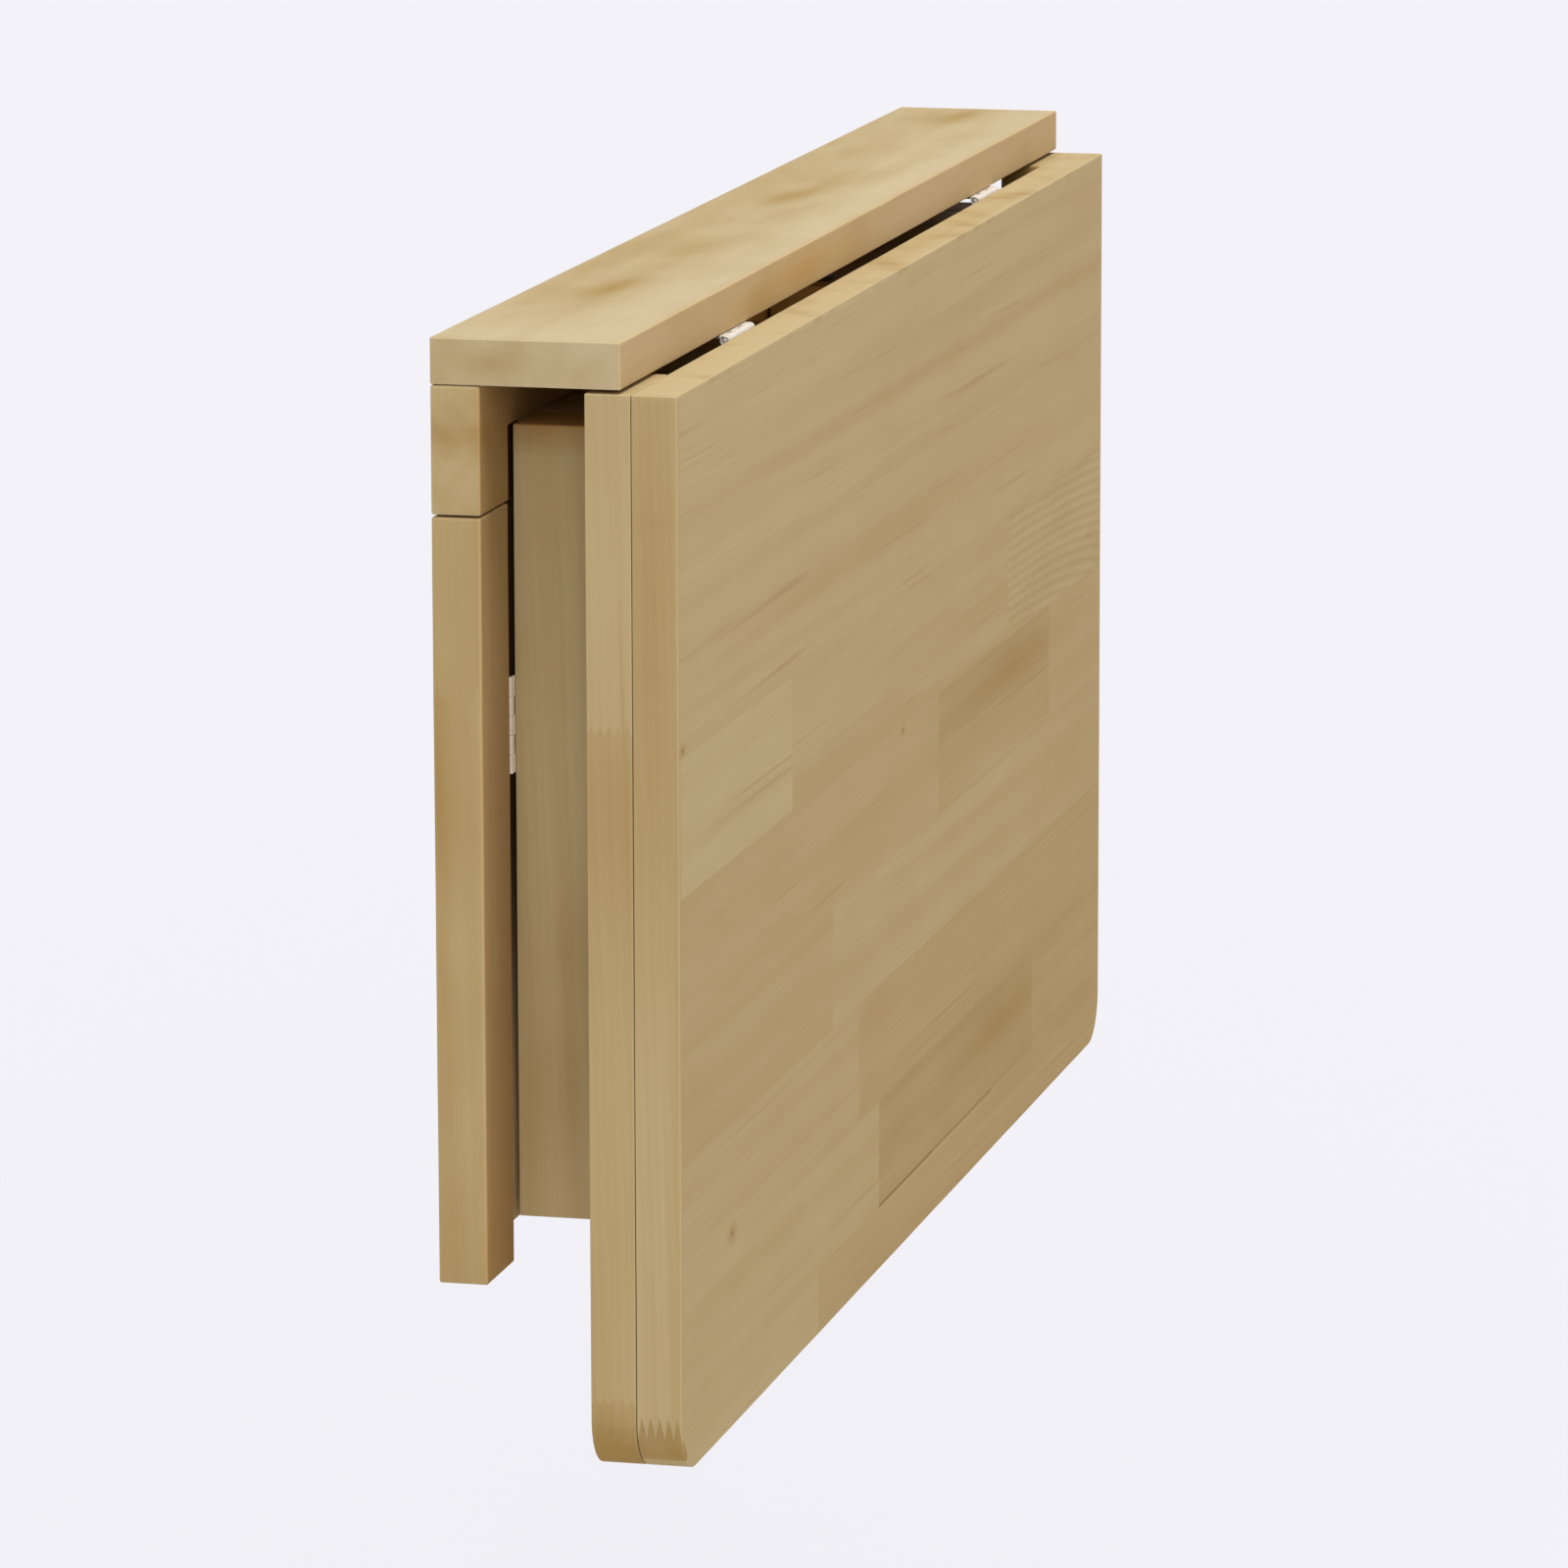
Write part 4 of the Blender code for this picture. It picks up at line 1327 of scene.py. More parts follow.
@dataclass
class DropLeaf:
    """The leaf's board of many staves, and its three battens."""

    table: Table
    corner_radius: float = 0.022
    lipping: float = 0.0024
    lipping_joint: float = 0.0185
    board_pitch: Triple = (0.006, 0.003, 0.020)

    def board_plan(self) -> StavePlan:
        """Rows of finger-jointed staves between two upright lippings.

        Two thin stained staves lie over a joint. A patch is its place along and below the top
        edge, its reach along and across, its tint and its blush.

        Returns:
            The plan.
        """
        length, height = self.table.size("leaf_board", (0, 2))
        rng = np.random.default_rng(5)
        lip, joint = self.lipping, self.lipping_joint
        near = dict(pith=(0.002, -0.03), drift=(0.0, 0.02), upright=True)
        staves = (
            Stave((0.337, 0.44), (height - 0.3968, height - 0.3952), (1.0, 1.0), stain=0.16),
            Stave((0.44, 0.56), (height - 0.3965, height - 0.3954), (1.0, 1.0), stain=0.10),
            Stave((0.0, lip), (0.0, joint), (1.05, 0.80), 0.05, 0.5, **near),
            Stave((0.0, lip), (joint, height), (0.34, 0.38), 0.05, 0.4, **near),
            Stave((length - lip, length), (0.0, height), (0.36, 0.30), 0.05, 0.4, **near),
            *self.row_staves(length, height, rng),
        )
        spots = (
            (0.45, 0.0495, 0.40, 0.0040, 0.22, 0.30), (0.35, 0.108, 0.30, 0.0060, 0.12, 0.20),
            (0.60, 0.208, 0.100, 0.011, 0.30, 0.10), (0.57, 0.241, 0.120, 0.009, -0.20, 0.0),
            (0.60, 0.262, 0.15, 0.004, 0.14, 0.2), (0.74, 0.270, 0.08, 0.012, 0.16, 0.25),
            (0.33, 0.311, 0.03, 0.008, 0.18, 0.2), (0.77, 0.018, 0.06, 0.008, 0.14, 0.25),
            # These two spots paint light falling off over the face: darker towards the far bottom,
            # paler near the top of the near end.
            (0.75, 0.40, 0.35, 0.18, 0.10, 0.0), (0.08, 0.05, 0.25, 0.09, -0.10, 0.10),
            # The second spot on this line paints the leaf's top edge paler, as light from above
            # falls on it.
            (0.45, 0.22, 0.60, 0.30, 0.05, 0.06), (0.40, 0.0, 0.60, 0.0012, -0.22, 0.0),
            (0.13, 0.0, 0.13, 0.0012, -0.10, 0.0), (0.42, 0.0, 0.12, 0.0012, 0.10, 0.0),
            (0.70, 0.0, 0.10, 0.0012, -0.06, 0.0), (0.56, 0.366, 0.070, 0.012, 0.16, 0.0),
            # This spot is a painted highlight: a thin paler line just below the dark staves, as a
            # lit bevel.
            (0.45, 0.3975, 0.16, 0.0010, -0.30, 0.0),
        )
        patches = (
            *(Patch((along, height - below), (long, wide), tint, blush)
              for along, below, long, wide, tint, blush in spots),
            Patch((0.0, height - 0.09), (0.0024, 0.12), 0.34, 0.10, (0.011, 0.010)),
            Patch((0.0, height - 0.30), (0.0024, 0.12), -0.12, 0.0, (0.007, 0.003)),
            Patch((0.0, height - 0.31), (0.0024, 0.12), -0.22, 0.0, (0.016, 0.005)),
            *(Patch((along, height), (rng.uniform(0.007, 0.013), 0.0012), rng.uniform(0.25, 0.75),
                    0.0, (0.009, 0.020), 1.0)
              for along in np.arange(0.05, length, 0.043) + rng.uniform(-0.015, 0.015, 18)),
        )
        return StavePlan(staves, (Teeth(1, joint, (0.0, lip), 0.010),), patches, seam=0.08)

    def row_staves(self, length: float, height: float, rng: np.random.Generator) -> list[Stave]:
        """Lay the rows of staves from the leaf's top edge down.

        Rows are given by their distance below the top edge, and staves by their end, tint, blush
        and figure, from the near end on. A figure above 1 is the stave with wide, calm arches.

        Args:
            length: the board's length.
            height: the board's height.
            rng: the random draws of pith and drift.

        Returns:
            The staves.
        """
        rows = (
            (0.029, ((length, 0.24, 0.10, 0.3),)),
            (0.083, ((length, 0.26, 0.16, 0.3),)),
            (0.140, ((length, 0.30, 0.18, 0.25),)),
            (0.195, ((0.183, 0.20, 0.02, 0.2), (0.594, 0.32, 0.14, 0.3),
                     (length, 0.30, 0.0, 1.3))),
            (0.249, ((0.452, 0.38, 0.25, 0.3), (0.683, 0.50, 0.10, 0.6),
                     (length, 0.40, 0.30, 0.3))),
            (0.300, ((0.253, 0.40, 0.16, 0.3), (length, 0.28, 0.12, 0.4))),
            (0.350, ((0.300, 0.34, 0.16, 0.4), (length, 0.50, 0.30, 0.4))),
            (0.396, ((0.337, 0.32, 0.10, 0.3), (0.647, 0.60, 0.04, 0.6),
                     (length, 0.50, 0.15, 0.4))),
            (height, ((0.227, 0.32, 0.10, 0.3), (length, 0.50, 0.18, 0.5))),
        )
        staves, lip = [], self.lipping
        upper = 0.0
        for lower, cells in rows:
            start = lip
            for end, tint, blush, figure in cells:
                stop = min(end, length - lip)
                pith = (rng.choice([-1, 1]) * rng.uniform(0.04, 0.09), rng.uniform(-0.03, 0.03))
                drift = (rng.uniform(-0.012, 0.012), rng.uniform(-0.02, 0.02))
                wide, calm = 1.0, 1.0
                if figure > 1:
                    pith, drift, wide, calm = (-0.055, 0.095), (0.0, -0.16), 1.35, 0.25
                staves.append(Stave((start, stop), (height - lower, height - upper), (tint, tint),
                                    blush, figure, pith, drift, spread=wide, calm=calm))
                start = stop
            upper = lower
        return staves

    def batten_plan(self, side: Side) -> StavePlan:
        """End batten of one stave row, with finger joints at its lower end and a third down.

        Args:
            side: the batten's end of the leaf.

        Returns:
            The plan.
        """
        width, height = self.table.size(f"leaf_{side.value}_batten", (0, 2))
        if side is Side.RIGHT:
            # Painted shade: the right batten's inner face, at the far end of the slot behind the
            # leaf, is darkened.
            painted_shade_face = Patch((0.2, 0.0), (3.0, 0.0009), 0.9)
            return replace(random_plan(31, height, width), patches=(painted_shade_face,))
        foot, upper = height - 0.394, height - 0.1296
        staves = (
            Stave((0.0, foot), (0.0, width), (1.15, 0.55), 0.05, 0.5, (0.02, -0.03)),
            Stave((foot, upper), (0.0, width), (0.45, 0.43), 0.08, 0.4, (-0.03, 0.03)),
            Stave((upper, height), (0.0, width), (0.28, 0.32), 0.10, 0.3, (0.03, 0.05)),
        )
        teeth = (Teeth(0, foot, (0.0, width), 0.003), Teeth(0, upper, (0.0, width), 0.0045))
        patches = (
            Patch((upper - 0.034, 0.0), (0.040, 0.06), 0.24, 0.15),
            Patch((foot + 0.016, 0.0), (0.014, 0.06), -0.02, 0.35),
        )
        return StavePlan(staves, teeth, patches)

    def build(self, finishes: Finishes) -> None:
        """Build and dress the leaf.

        Args:
            finishes: the shared materials.
        """
        radius = self.corner_radius
        self.table.board("leaf_board", ALONG_X, self.board_plan(), finishes.leaf,
                         corners=(radius, radius, 0.0, 0.0), pitch=self.board_pitch)
        for side in Side:
            corners = (radius, 0.0, 0.0, 0.0) if side is Side.LEFT else (0.0, 0.0, 0.0, radius)
            self.table.board(f"leaf_{side.value}_batten", ALONG_Z, self.batten_plan(side),
                             finishes.leaf, corners=corners)
        length, height = self.table.size("leaf_front_batten", (0, 2))
        self.table.board("leaf_front_batten", ALONG_X, random_plan(37, length, height),
                         finishes.leaf)


@dataclass
class Gate:
    """A swing gate: stile, arm, brace and the felt pad that carries the raised leaf."""

    table: Table
    side: Side
    brace_width: float = 0.028
    pad_rim: float = 0.0006
    pad_rim_points: int = 7
    pad_top_rings: int = 16
    pad_foot_rings: int = 4
    pad_facets: int = 72
    pad_matting: float = 0.00007
    pad_waves: tuple[Pair, Pair] = ((5200.0, 900.0), (-1300.0, 4700.0))

    def build(self, finishes: Finishes) -> None:
        """Build and dress the gate.

        Args:
            finishes: the shared materials.
        """
        stem = f"{self.side.value}_gate"
        seed = 41 if self.side is Side.LEFT else 53
        members = (("stile", ALONG_Z, self.stile_spots), ("arm", ALONG_X, self.arm_spots))
        for shift, (member, axes, spots) in enumerate(members):
            node = f"{stem}_{member}"
            size = self.table.size(node, axes)
            plan = random_plan(seed + shift, size[0], size[1], tint=(0.2, 0.36), run=0.34)
            self.table.board(node, axes, replace(plan, patches=spots(size)), finishes.gate)
        node = f"{stem}_brace"
        self.table.stand_in(self.brace(node, seed + 2), node, finishes.gate)
        node = f"{stem}_pad"
        pad = self.pad(node)
        self.table.stand_in(pad, node, finishes.felt)

    def stile_spots(self, size: Array) -> tuple[Patch, ...]:
        """Painted warm shade on the stile's upper end, and soft spots on its outer side.

        Args:
            size: the stile's size along, across and through.

        Returns:
            The spots.
        """
        outer = 0.0 if self.side is Side.LEFT else size[1]
        return (
            # Painted shade: the stile's top, in shade under the shelf, is painted darker and
            # warmer.
            Patch((size[0], 0.0), (0.0010, 0.2), 0.6, 0.9),
            Patch((0.06, 0.02), (0.06, 0.2), 0.16),
            Patch((0.20, outer), (0.07, 0.002), -0.30, 0.0, (0.006, 0.014)),
            Patch((0.02, outer), (0.03, 0.002), -0.28, 0.0, (0.002, 0.008)),
            Patch((0.16, outer), (0.30, 0.002), 0.14, 0.0, (0.032, 0.008)),
        )

    def arm_spots(self, size: Array) -> tuple[Patch, ...]:
        """Painted warm light on the arm's top, and its dark tip.

        Args:
            size: the arm's size along, across and through.

        Returns:
            The spots.
        """
        tip = size[0] if self.side is Side.LEFT else 0.0
        return (
            # Painted light: the arm's top, deep in the slot's shade, is painted paler and warmer.
            Patch((0.1, size[1]), (3.0, 0.0010), -0.2, 0.7),
            Patch((tip, 0.02), (0.0012, 0.2), 1.0, 0.3),
        )

    def brace(self, node: str, seed: int) -> bpy.types.Object:
        """Brace: a board drawn from its rectangle to the slanted outline by its four corners.

        A point at shares s and t of the rectangle goes to the weighted mean of the corners, with
        weights (1-s)(1-t), s(1-t), s t and (1-s)t.

        Args:
            node: the solid that it stands for.
            seed: start of the random draws.

        Returns:
            The brace's object.
        """
        low, high = self.table.box(node)
        run, rise = (high - low)[[0, 2]]
        slant = math.hypot(run, rise)
        foot, tip = (low[0], high[0]) if self.side is Side.LEFT else (high[0], low[0])
        inward = -self.side.sign
        corners = np.array([
            (foot, low[2]),
            (tip, high[2]),
            (tip - inward * self.brace_width * slant / rise, high[2]),
            (foot, low[2] + self.brace_width * slant / run),
        ])
        size = np.array([slant, self.brace_width, high[1] - low[1]])

        def bend(local: Array) -> Array:
            """Draw the rectangle's points to the slanted outline.

            Args:
                local: points along, across and through the brace.

            Returns:
                The points in the part's frame.
            """
            s, t = local[:, :1] / size[0], local[:, 1:2] / size[1]
            flat = ((1 - s) * (1 - t) * corners[0] + s * (1 - t) * corners[1]
                    + s * t * corners[2] + (1 - s) * t * corners[3])
            return np.column_stack([flat[:, 0], low[1] + local[:, 2], flat[:, 1]])

        plan = random_plan(seed, size[0], size[1], tint=(0.3, 0.55), run=0.5)
        return Board(f"{node}_finished", np.zeros(3), size, LEVEL, plan, bend=bend).build()

    def pad(self, node: str) -> bpy.types.Object:
        """Felt disc with a soft rim, matted all over.

        The profile is a flat disc whose upper rim is a quarter round. The matting lowers the top
        by a product of two sines of the place across.

        Args:
            node: the solid that it stands for.

        Returns:
            The pad's object.
        """
        low, high = self.table.box(node)
        radius, thick = (high[0] - low[0]) / 2, high[2] - low[2]
        rim = np.linspace(0, np.pi / 2, self.pad_rim_points)
        corner = np.column_stack([radius - self.pad_rim * (1 - np.cos(rim)),
                                  thick - self.pad_rim * (1 - np.sin(rim))])
        inward = np.linspace(radius - self.pad_rim, POLE, self.pad_top_rings)[1:]
        top = np.column_stack([inward, np.full_like(inward, thick)])
        outward = np.linspace(POLE, radius, self.pad_foot_rings)
        foot = np.column_stack([outward, np.zeros_like(outward)])

        def matted(x: Array, y: Array, z: Array) -> Array:
            """Lower the upper half by two crossing sines.

            Args:
                x: places across.
                y: places across, at right angles.
                z: heights.

            Returns:
                The new heights.
            """
            rough = np.prod([np.sin(a * x + b * y) for a, b in self.pad_waves], axis=0)
            return z - self.pad_matting * (1 + rough) * (z > thick / 2)

        place = np.array([(low[0] + high[0]) / 2, (low[1] + high[1]) / 2, low[2]])
        frame = Frame.facing(place, np.array([0.0, 0, 1]), np.array([1.0, 0, 0]))
        shell = turned_shell(np.concatenate([foot, corner, top]), frame, self.pad_facets, matted)
        return mesh_object(f"{node}_finished", shell, smooth_angle=60.0)


@dataclass(frozen=True)
class HingeHalf:
    """Half a hinge: the way its plate leaves the axis, the way its back faces, and its knuckles.

    An odd half has the second and fourth knuckles, and the other half has the rest.
    """

    name: str
    plate_way: Array
    seat_way: Array
    odd: bool


@dataclass
class Hinge:
    """A butt hinge: two plates with knuckles, their screws, and the pin through them."""

    table: Table
    stem: str
    halves: tuple[HingeHalf, HingeHalf]
    plate_thickness: float = 0.0011
    plate_ease: float = 0.00018
    plate_corner: float = 0.0016
    knuckles: int = 5
    knuckle_gap: float = 0.00014
    bore: float = 0.00125
    rim: float = 0.00012
    screws: int = 2
    sink: float = 0.0031
    sink_share: float = 0.85
    screw_bore: float = 0.0021
    screw_block: float = 0.0042
    slot_width: float = 0.00042
    slot_length: float = 0.0017
    slot_depth: float = 0.0008
    slot_edge: float = 0.00018
    slot_end: float = 0.0004
    slot_turns: Pair = (25.0, 40.0)
    head_rings: int = 26
    head_facets: int = 72
    head_break: float = 0.0001
    head_drop: float = 0.4
    head_depth: float = 0.0016
    point_length: float = 0.0025
    pin_dome: float = 0.0005
    dome_points: int = 7
    facets: int = 40
    sheet_pitch: Triple = (0.02, 0.02, 0.02)

    def build(self, finishes: Finishes) -> None:
        """Build and dress the hinge.

        Args:
            finishes: the shared materials.
        """
        level = np.cross(self.halves[0].plate_way, self.halves[0].seat_way)[0] != 0
        finish = finishes.drawn_x if level else finishes.drawn_z
        for half in self.halves:
            node = f"{self.stem}_{half.name}_plate"
            self.table.stand_in(self.plate(node, half), node, finish)
            for number in range(1, self.screws + 1):
                screw = f"{self.stem}_{half.name}_screw_{number}"
                made = self.screw(screw, half.seat_way, number)
                self.table.stand_in(made, screw, finishes.screw)
        pin = f"{self.stem}_pin"
        self.table.stand_in(self.pin(pin), pin, finish)

    def plate(self, node: str, half: HingeHalf) -> bpy.types.Object:
        """Half a hinge: a drilled plate, necks, and knuckles that are turned tubes.

        Args:
            node: the solid that it stands for.
            half: the ways that it faces, and its knuckles.

        Returns:
            The half's object.
        """
        low, high = self.table.box(node)
        plate_way, seat_way = half.plate_way, half.seat_way
        along = np.cross(plate_way, seat_way)
        reach = np.abs((high - low) @ np.stack([plate_way, seat_way, along]).T)
        radius, length = reach[1] / 2, reach[2]
        width = reach[0] - radius
        middle = (low + high) / 2
        axis_point = middle + plate_way * (radius - reach[0] / 2)
        frame = Frame(axis_point, plate_way, seat_way, along)
        inner = radius - self.plate_thickness
        start = radius + self.knuckle_gap

        marks = []
        for number in range(1, self.screws + 1):
            screw_low, screw_high = self.table.box(node.replace("plate", f"screw_{number}"))
            offset = (screw_low + screw_high) / 2 - axis_point
            marks.append((offset @ plate_way - start, offset @ along + length / 2))
        sink_depth = self.plate_thickness * self.sink_share
        holes = tuple(
            ScrewHole(mark, self.screw_bore, self.sink, sink_depth, True, self.screw_block)
            for mark in marks)
        plain = StavePlan((Stave((0.0, 1.0), (0.0, 1.0)),))
        size = np.array([width - start, length, self.plate_thickness])
        corner = self.plate_corner
        sheet = Board(node, np.zeros(3), size, LEVEL, plain, self.plate_ease,
                      (0.0, corner, corner, 0.0), holes, self.sheet_pitch)
        shells = [self._placed(sheet, frame, start, -length / 2, inner)]

        pitch = length / self.knuckles
        for number in range(int(half.odd), self.knuckles, 2):
            first = -length / 2 + number * pitch + self.knuckle_gap / 2 * (number > 0)
            last = -length / 2 + (number + 1) * pitch
            last -= self.knuckle_gap / 2 * (number < self.knuckles - 1)
            shells.append(self._knuckle(frame, radius, first, last))
            size = np.array([start + corner, last - first, self.plate_thickness])
            neck = Board(node, np.zeros(3), size, LEVEL, plain, self.plate_ease,
                         pitch=self.sheet_pitch)
            shells.append(self._placed(neck, frame, 0.0, first, inner))
        return mesh_object(f"{node}_finished", joined(shells))

    def _placed(self, sheet: Board, frame: Frame, start: float, foot: float, inner: float) -> Shell:
        """Set a flat sheet beside the hinge's axis.

        The sheet's own axes are outwards from the axis, along it, and to the seat.

        Args:
            sheet: the sheet, with its holes.
            frame: the hinge's plate way, seat way and axis.
            start: the sheet's distance from the axis.
            foot: where it starts along the axis.
            inner: how far towards the seat its bare face lies.

        Returns:
            The sheet's surface in the part's frame.
        """
        shell, points = sheet.surface()
        out, up, seat = points.T
        local = np.stack([start + out, inner + seat, foot + up], -1)
        return Shell(frame.to_world(local), shell.quads).outward()

    def _knuckle(self, frame: Frame, radius: float, first: float, last: float) -> Shell:
        """Knuckle: a tube whose wall's outline, with broken edges, is carried round the axis.

        Args:
            frame: the hinge's plate way, seat way and axis.
            radius: the tube's outer radius.
            first: where it starts along the axis.
            last: where it ends.

        Returns:
            The tube's surface.
        """
        rim = self.rim
        wall = np.array([
            (self.bore, first + rim), (self.bore + rim, first), (radius - rim, first),
            (radius, first + rim), (radius, last - rim), (radius - rim, last),
            (self.bore + rim, last), (self.bore, last - rim),
        ])
        angle = np.linspace(0, 2 * np.pi, self.facets, endpoint=False)
        across = wall[:, :1, None] * np.stack([np.cos(angle), np.sin(angle)], -1)
        height = np.broadcast_to(wall[:, 1:, None], (len(wall), self.facets, 1))
        points = frame.to_world(np.concatenate([across, height], -1).reshape(-1, 3))
        return Shell(points, grid_quads(len(wall), self.facets, True, True)).outward()

    def screw(self, node: str, seat_way: Array, number: int) -> bpy.types.Object:
        """Countersunk screw with a cross slot: a turned profile whose head sinks in along two arms.

        The sink is a ramp of the distance across each arm times one of that along it.

        Args:
            node: the solid that it stands for.
            seat_way: the way it is driven.
            number: its number on the plate, which turns its slot.

        Returns:
            The screw's object.
        """
        low, high = self.table.box(node)
        size = np.abs((high - low) @ seat_way)
        radius = (high - low)[np.argmin(np.abs(seat_way))] / 2
        middle = (low + high) / 2
        reach = np.linspace(2 * POLE, radius - self.head_break, self.head_rings)
        head = np.column_stack([reach, np.zeros_like(reach)])
        head[-1, 1] = self.head_drop * self.head_break
        shank = radius / 2
        body = np.array([(radius, 2 * self.head_break), (shank, self.head_depth),
                         (shank, size - self.point_length), (shank / 4, size), (POLE, size)])
        turn = math.radians(self.slot_turns[0] + self.slot_turns[1] * number)
        arms = np.array([(math.cos(turn), math.sin(turn)), (-math.sin(turn), math.cos(turn))])

        def slotted(x: Array, y: Array, z: Array) -> Array:
            """Sink the head's top along the slot's two arms.

            Args:
                x: places across.
                y: places across, at right angles.
                z: depths below the head's top.

            Returns:
                The new depths.
            """
            along, across = (x * a + y * b for a, b in arms)
            sunk = np.zeros_like(z)
            for run, side in ((along, across), (across, along)):
                narrow = np.clip((self.slot_width - np.abs(side)) / self.slot_edge + 0.5, 0, 1)
                short = np.clip((self.slot_length - np.abs(run)) / self.slot_end + 0.5, 0, 1)
                sunk = np.maximum(sunk, narrow * short)
            return z + self.slot_depth * sunk * (z < self.head_break)

        across = np.roll(np.abs(seat_way), 1)
        frame = Frame.facing(middle - seat_way * size / 2, seat_way, across)
        shell = turned_shell(np.concatenate([head, body]), frame, self.head_facets, slotted)
        return mesh_object(f"{node}_finished", shell, smooth_angle=30.0)

    def pin(self, node: str) -> bpy.types.Object:
        """Pin with domed ends: a rod whose ends are flat elliptic caps.

        Args:
            node: the solid that it stands for.

        Returns:
            The pin's object.
        """
        low, high = self.table.box(node)
        size = high - low
        way = (size == size.max()).astype(float)
        radius, length = size.min() / 2, size.max()
        angle = np.linspace(0, np.pi / 2, self.dome_points)
        dome = np.column_stack([np.maximum(radius * np.sin(angle), POLE),
                                self.pin_dome * (1 - np.cos(angle))])
        profile = np.concatenate([dome, dome[::-1] * (1, -1) + (0, length)])
        start = (low + high) / 2 - way * length / 2
        frame = Frame.facing(start, way, np.roll(way, 1))
        return mesh_object(f"{node}_finished", turned_shell(profile, frame, self.facets))


class Finishes:
    """The materials that the pieces share."""

    def __init__(self, table: Table) -> None:
        """Make the materials.

        Args:
            table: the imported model, which places the knots.
        """
        low, high = table.box("leaf_board")
        knots = tuple(
            Knot((low[0] + along, low[1], high[2] - below), radius)
            for along, below, radius in ((0.081, 0.345, 0.0022), (0.006, 0.1375, 0.0016),
                                         (0.382, 0.1985, 0.0014)))
        self.shelf = PineFinish("shelf_pine", pale=(190, 173, 138), amber=(158, 131, 76),
                                pink=(204, 156, 90), mottle_depth=0.18, streak_depth=0.10,
                                ring_depth=0.08).material()
        self.frame = PineFinish("frame_pine", pink=(178, 124, 62), ring_depth=0.08,
                                streak_depth=0.16).material()
        self.leaf = PineFinish("leaf_pine", fibre_depth=0.03, streak_depth=0.14,
                               mottle_depth=0.05, line_depth=0.24, knots=knots).material()
        self.gate = PineFinish("gate_pine", pink=(178, 124, 62), ring_depth=0.06).material()
        # The strips are painted dark as the shade in the slit between each post and gate, fading
        # out towards their foot.
        self.strip = PineFinish("strip_stained_pine", pale=(74, 50, 30), amber=(48, 30, 17),
                                latewood=(34, 20, 11), whole=True,
                                fading=(-0.30, -0.15)).material()
        self.beech = BeechFinish().material()
        self.drawn_x = SteelFinish("hinge_steel_level", (60.0, 2600.0, 2600.0)).material()
        self.drawn_z = SteelFinish("hinge_steel_upright", (2600.0, 2600.0, 60.0),
                                   bright=(248, 234, 214), dull=(236, 222, 202),
                                   metal=0.08).material()
        self.screw = SteelFinish("screw_steel_plain", (1800.0, 1800.0, 1800.0), smooth=0.40,
                                 metal=0.65).material()
        self.felt = FeltFinish().material()


@dataclass(frozen=True)
class Lamp:
    """A broad far light: the way to it, its strength and its spread in degrees."""

    name: str
    way: Triple
    strength: float
    spread: float

    def build(self) -> None:
        """Hang the light."""
        lamp = bpy.data.lights.new(self.name, "SUN")
        lamp.energy = self.strength
        lamp.angle = math.radians(self.spread)
        made = bpy.data.objects.new(self.name, lamp)
        made.rotation_euler = Vector(self.way).to_track_quat("Z", "Y").to_euler()
        bpy.context.scene.collection.objects.link(made)


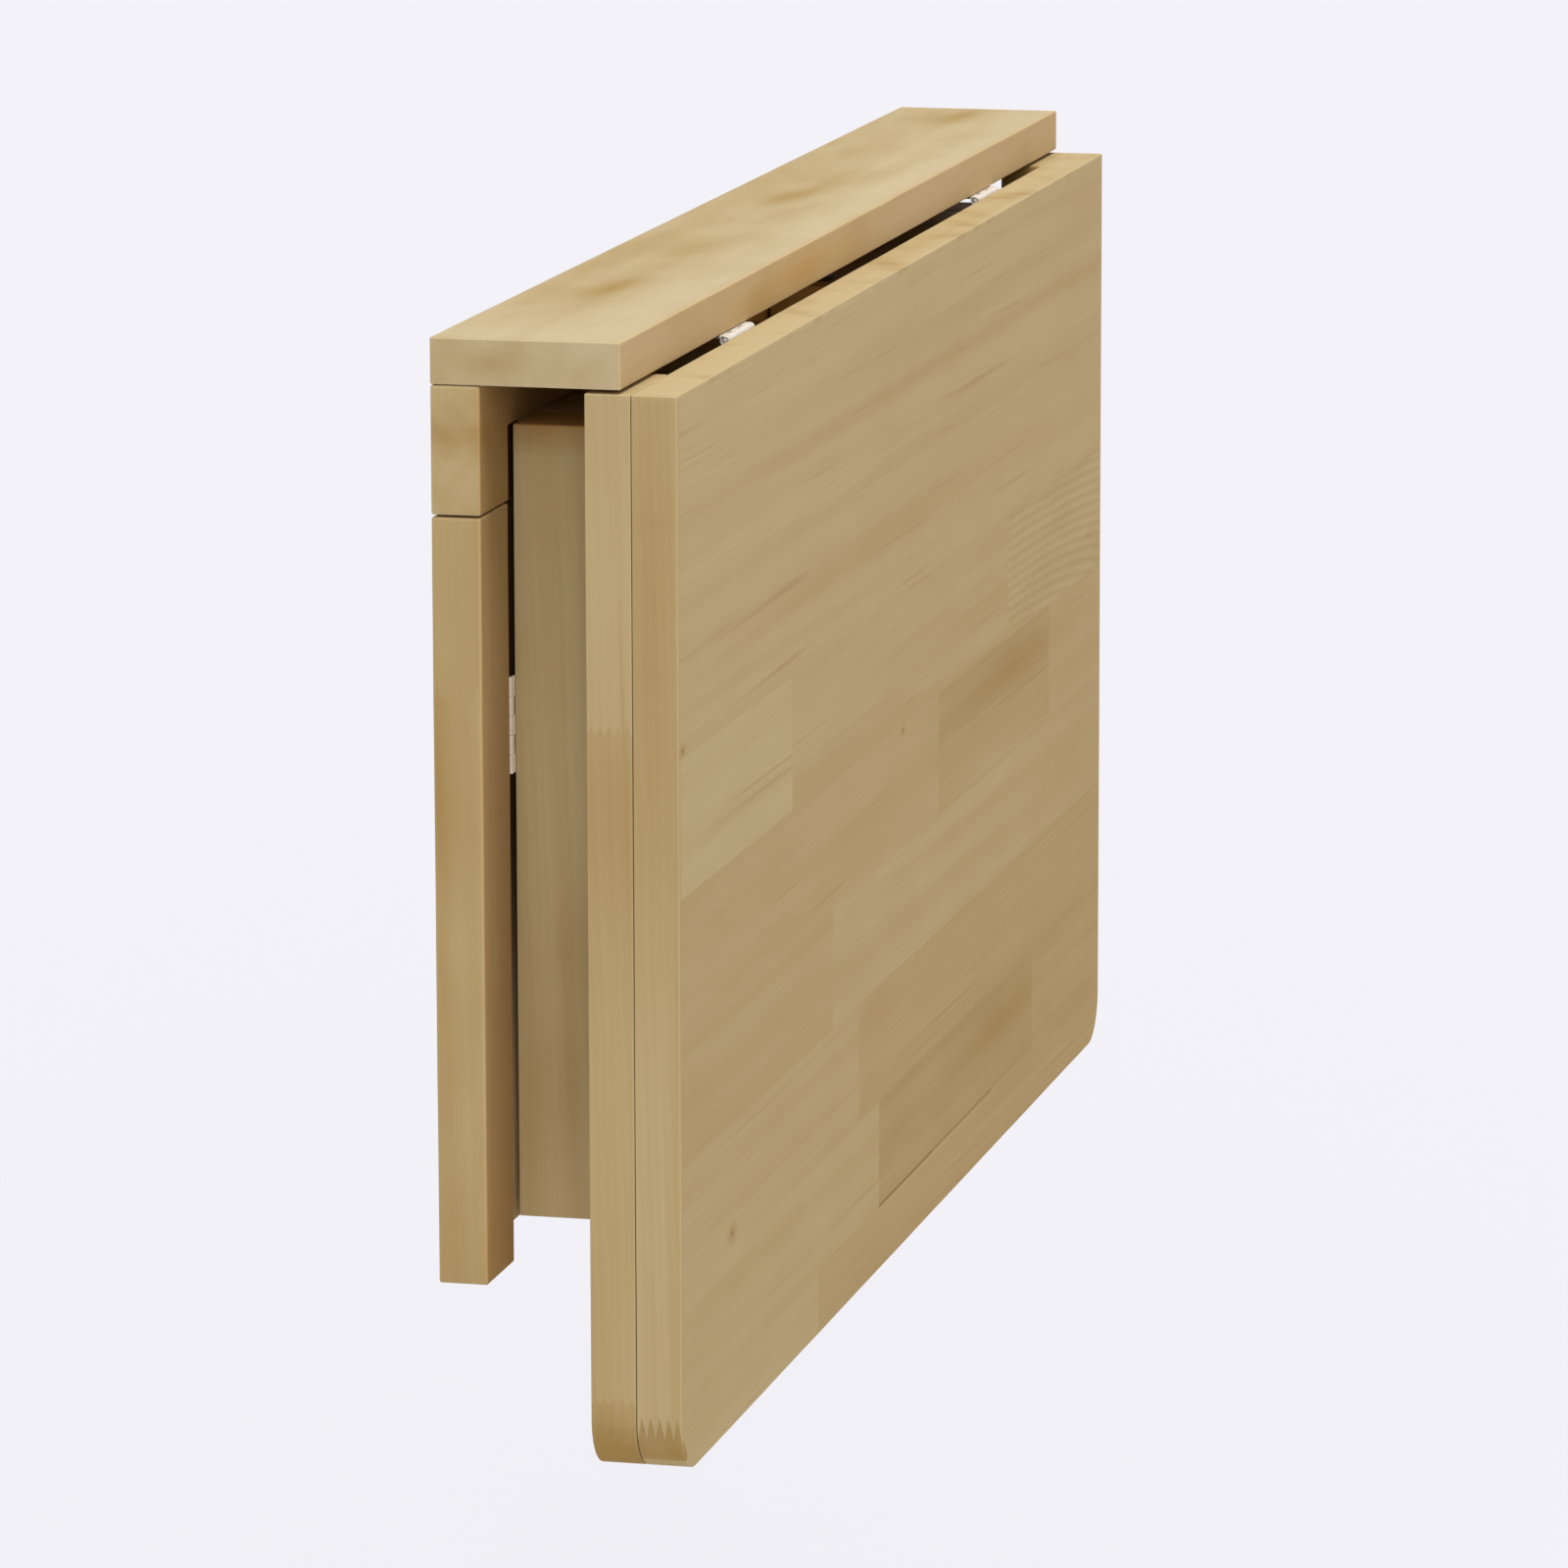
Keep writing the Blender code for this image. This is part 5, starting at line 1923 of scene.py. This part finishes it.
@dataclass
class Studio:
    """Pale floor, even soft light and the camera."""

    backdrop: Colour = (243, 242, 248)
    floor_tone: Colour = (214, 213, 218)
    floor_rough: float = 0.9
    table_height: float = 0.95
    floor_reach: float = 60.0
    sky: float = 0.53
    lamps: tuple[Lamp, ...] = (
        Lamp("key_light", (-0.10, -0.26, 0.96), 2.24, 30.0),
        Lamp("end_light", (-0.88, -0.20, 0.44), 0.86, 34.0),
    )
    camera_place: Triple = (-3.405, -0.873, 0.4815)
    camera_way: Triple = (0.9533, 0.2331, -0.1919)
    camera_roll: float = -0.134
    lens: float = 190.68
    sensor: float = 36.0

    def build(self, table: Table) -> None:
        """Make the floor, the sky, the lamps and the camera.

        Args:
            table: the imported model, above whose floor the shelf stands.
        """
        self.floor(table)
        self.world()
        for lamp in self.lamps:
            lamp.build()
        self.camera()
        bpy.context.scene.view_settings.view_transform = "Standard"

    def floor(self, table: Table) -> None:
        """Level floor below the shelf's top by the table's height.

        Args:
            table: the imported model.
        """
        level = table.box("top_shelf")[1][2] - self.table_height
        reach = np.array([-self.floor_reach, self.floor_reach])
        x, y = np.meshgrid(reach, reach, indexing="ij")
        points = np.stack([x, y, np.full_like(x, level)], -1).reshape(-1, 3)
        floor = mesh_object("studio_floor", Shell(points, grid_quads(2, 2)))
        g = Graph("floor_paint")
        g.set(Base_Color=linear(self.floor_tone), Roughness=self.floor_rough,
              Specular_IOR_Level=0.0)
        floor.data.materials.append(g.material)

    def world(self) -> None:
        """Even sky that shows as the backdrop to the camera and in reflections."""
        world = bpy.data.worlds.new("studio_sky")
        bpy.context.scene.world = world
        world.use_nodes = True
        tree = world.node_tree
        tree.nodes.clear()
        path = tree.nodes.new("ShaderNodeLightPath")
        seen = path.outputs["Is Camera Ray"]
        for name in ("Is Glossy Ray", "Is Transmission Ray"):
            either = tree.nodes.new("ShaderNodeMath")
            either.operation = "MAXIMUM"
            tree.links.new(seen, either.inputs[0])
            tree.links.new(path.outputs[name], either.inputs[1])
            seen = either.outputs[0]
        light, shown = (tree.nodes.new("ShaderNodeBackground") for _ in range(2))
        light.inputs["Color"].default_value = (1.0, 1.0, 1.0, 1.0)
        light.inputs["Strength"].default_value = self.sky
        shown.inputs["Color"].default_value = linear(self.backdrop)
        mixed = tree.nodes.new("ShaderNodeMixShader")
        out = tree.nodes.new("ShaderNodeOutputWorld")
        tree.links.new(seen, mixed.inputs[0])
        tree.links.new(light.outputs[0], mixed.inputs[1])
        tree.links.new(shown.outputs[0], mixed.inputs[2])
        tree.links.new(mixed.outputs[0], out.inputs["Surface"])

    def camera(self) -> None:
        """Long lens from the near end, a little above the shelf."""
        camera = bpy.data.cameras.new("photo_camera")
        camera.lens, camera.sensor_width = self.lens, self.sensor
        made = bpy.data.objects.new("photo_camera", camera)
        look = Vector(self.camera_way).to_track_quat("-Z", "Y").to_matrix().to_4x4()
        roll = Matrix.Rotation(math.radians(self.camera_roll), 4, "Z")
        made.matrix_world = Matrix.Translation(self.camera_place) @ look @ roll
        bpy.context.scene.collection.objects.link(made)
        bpy.context.scene.camera = made


def hinges(table: Table) -> list[Hinge]:
    """List the table's hinges.

    Args:
        table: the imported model.

    Returns:
        Two hinges of the leaf and two of the gates.
    """
    to_wall, to_room = np.array([0.0, 1, 0]), np.array([0.0, -1, 0])
    up, down = np.array([0.0, 0, 1]), np.array([0.0, 0, -1])
    found = []
    for side in Side:
        outward = np.array([side.sign, 0.0, 0.0])
        found.append(Hinge(table, f"{side.value}_leaf_hinge", (
            HingeHalf("shelf", to_wall, up, False),
            HingeHalf("board", down, to_room, True))))
        found.append(Hinge(table, f"{side.value}_gate_hinge", (
            HingeHalf("post", to_wall, outward, False),
            HingeHalf("stile", -outward, to_room, True))))
    return found


def main() -> None:
    """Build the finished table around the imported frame, and its studio."""
    logging.basicConfig(level=logging.INFO, format="%(name)s: %(message)s")
    for old in list(bpy.data.objects):
        bpy.data.objects.remove(old, do_unlink=True)
    table = Table()
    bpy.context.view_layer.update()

    finishes = Finishes(table)
    WallFrame(table).build(finishes)
    DropLeaf(table).build(finishes)
    for side in Side:
        Gate(table, side).build(finishes)
    for hinge in hinges(table):
        hinge.build(finishes)
    for node in sorted(table.body):
        if "dowel" in node:
            table.dress(node, finishes.beech)
    Studio().build(table)


if __name__ == "__main__":
    main()
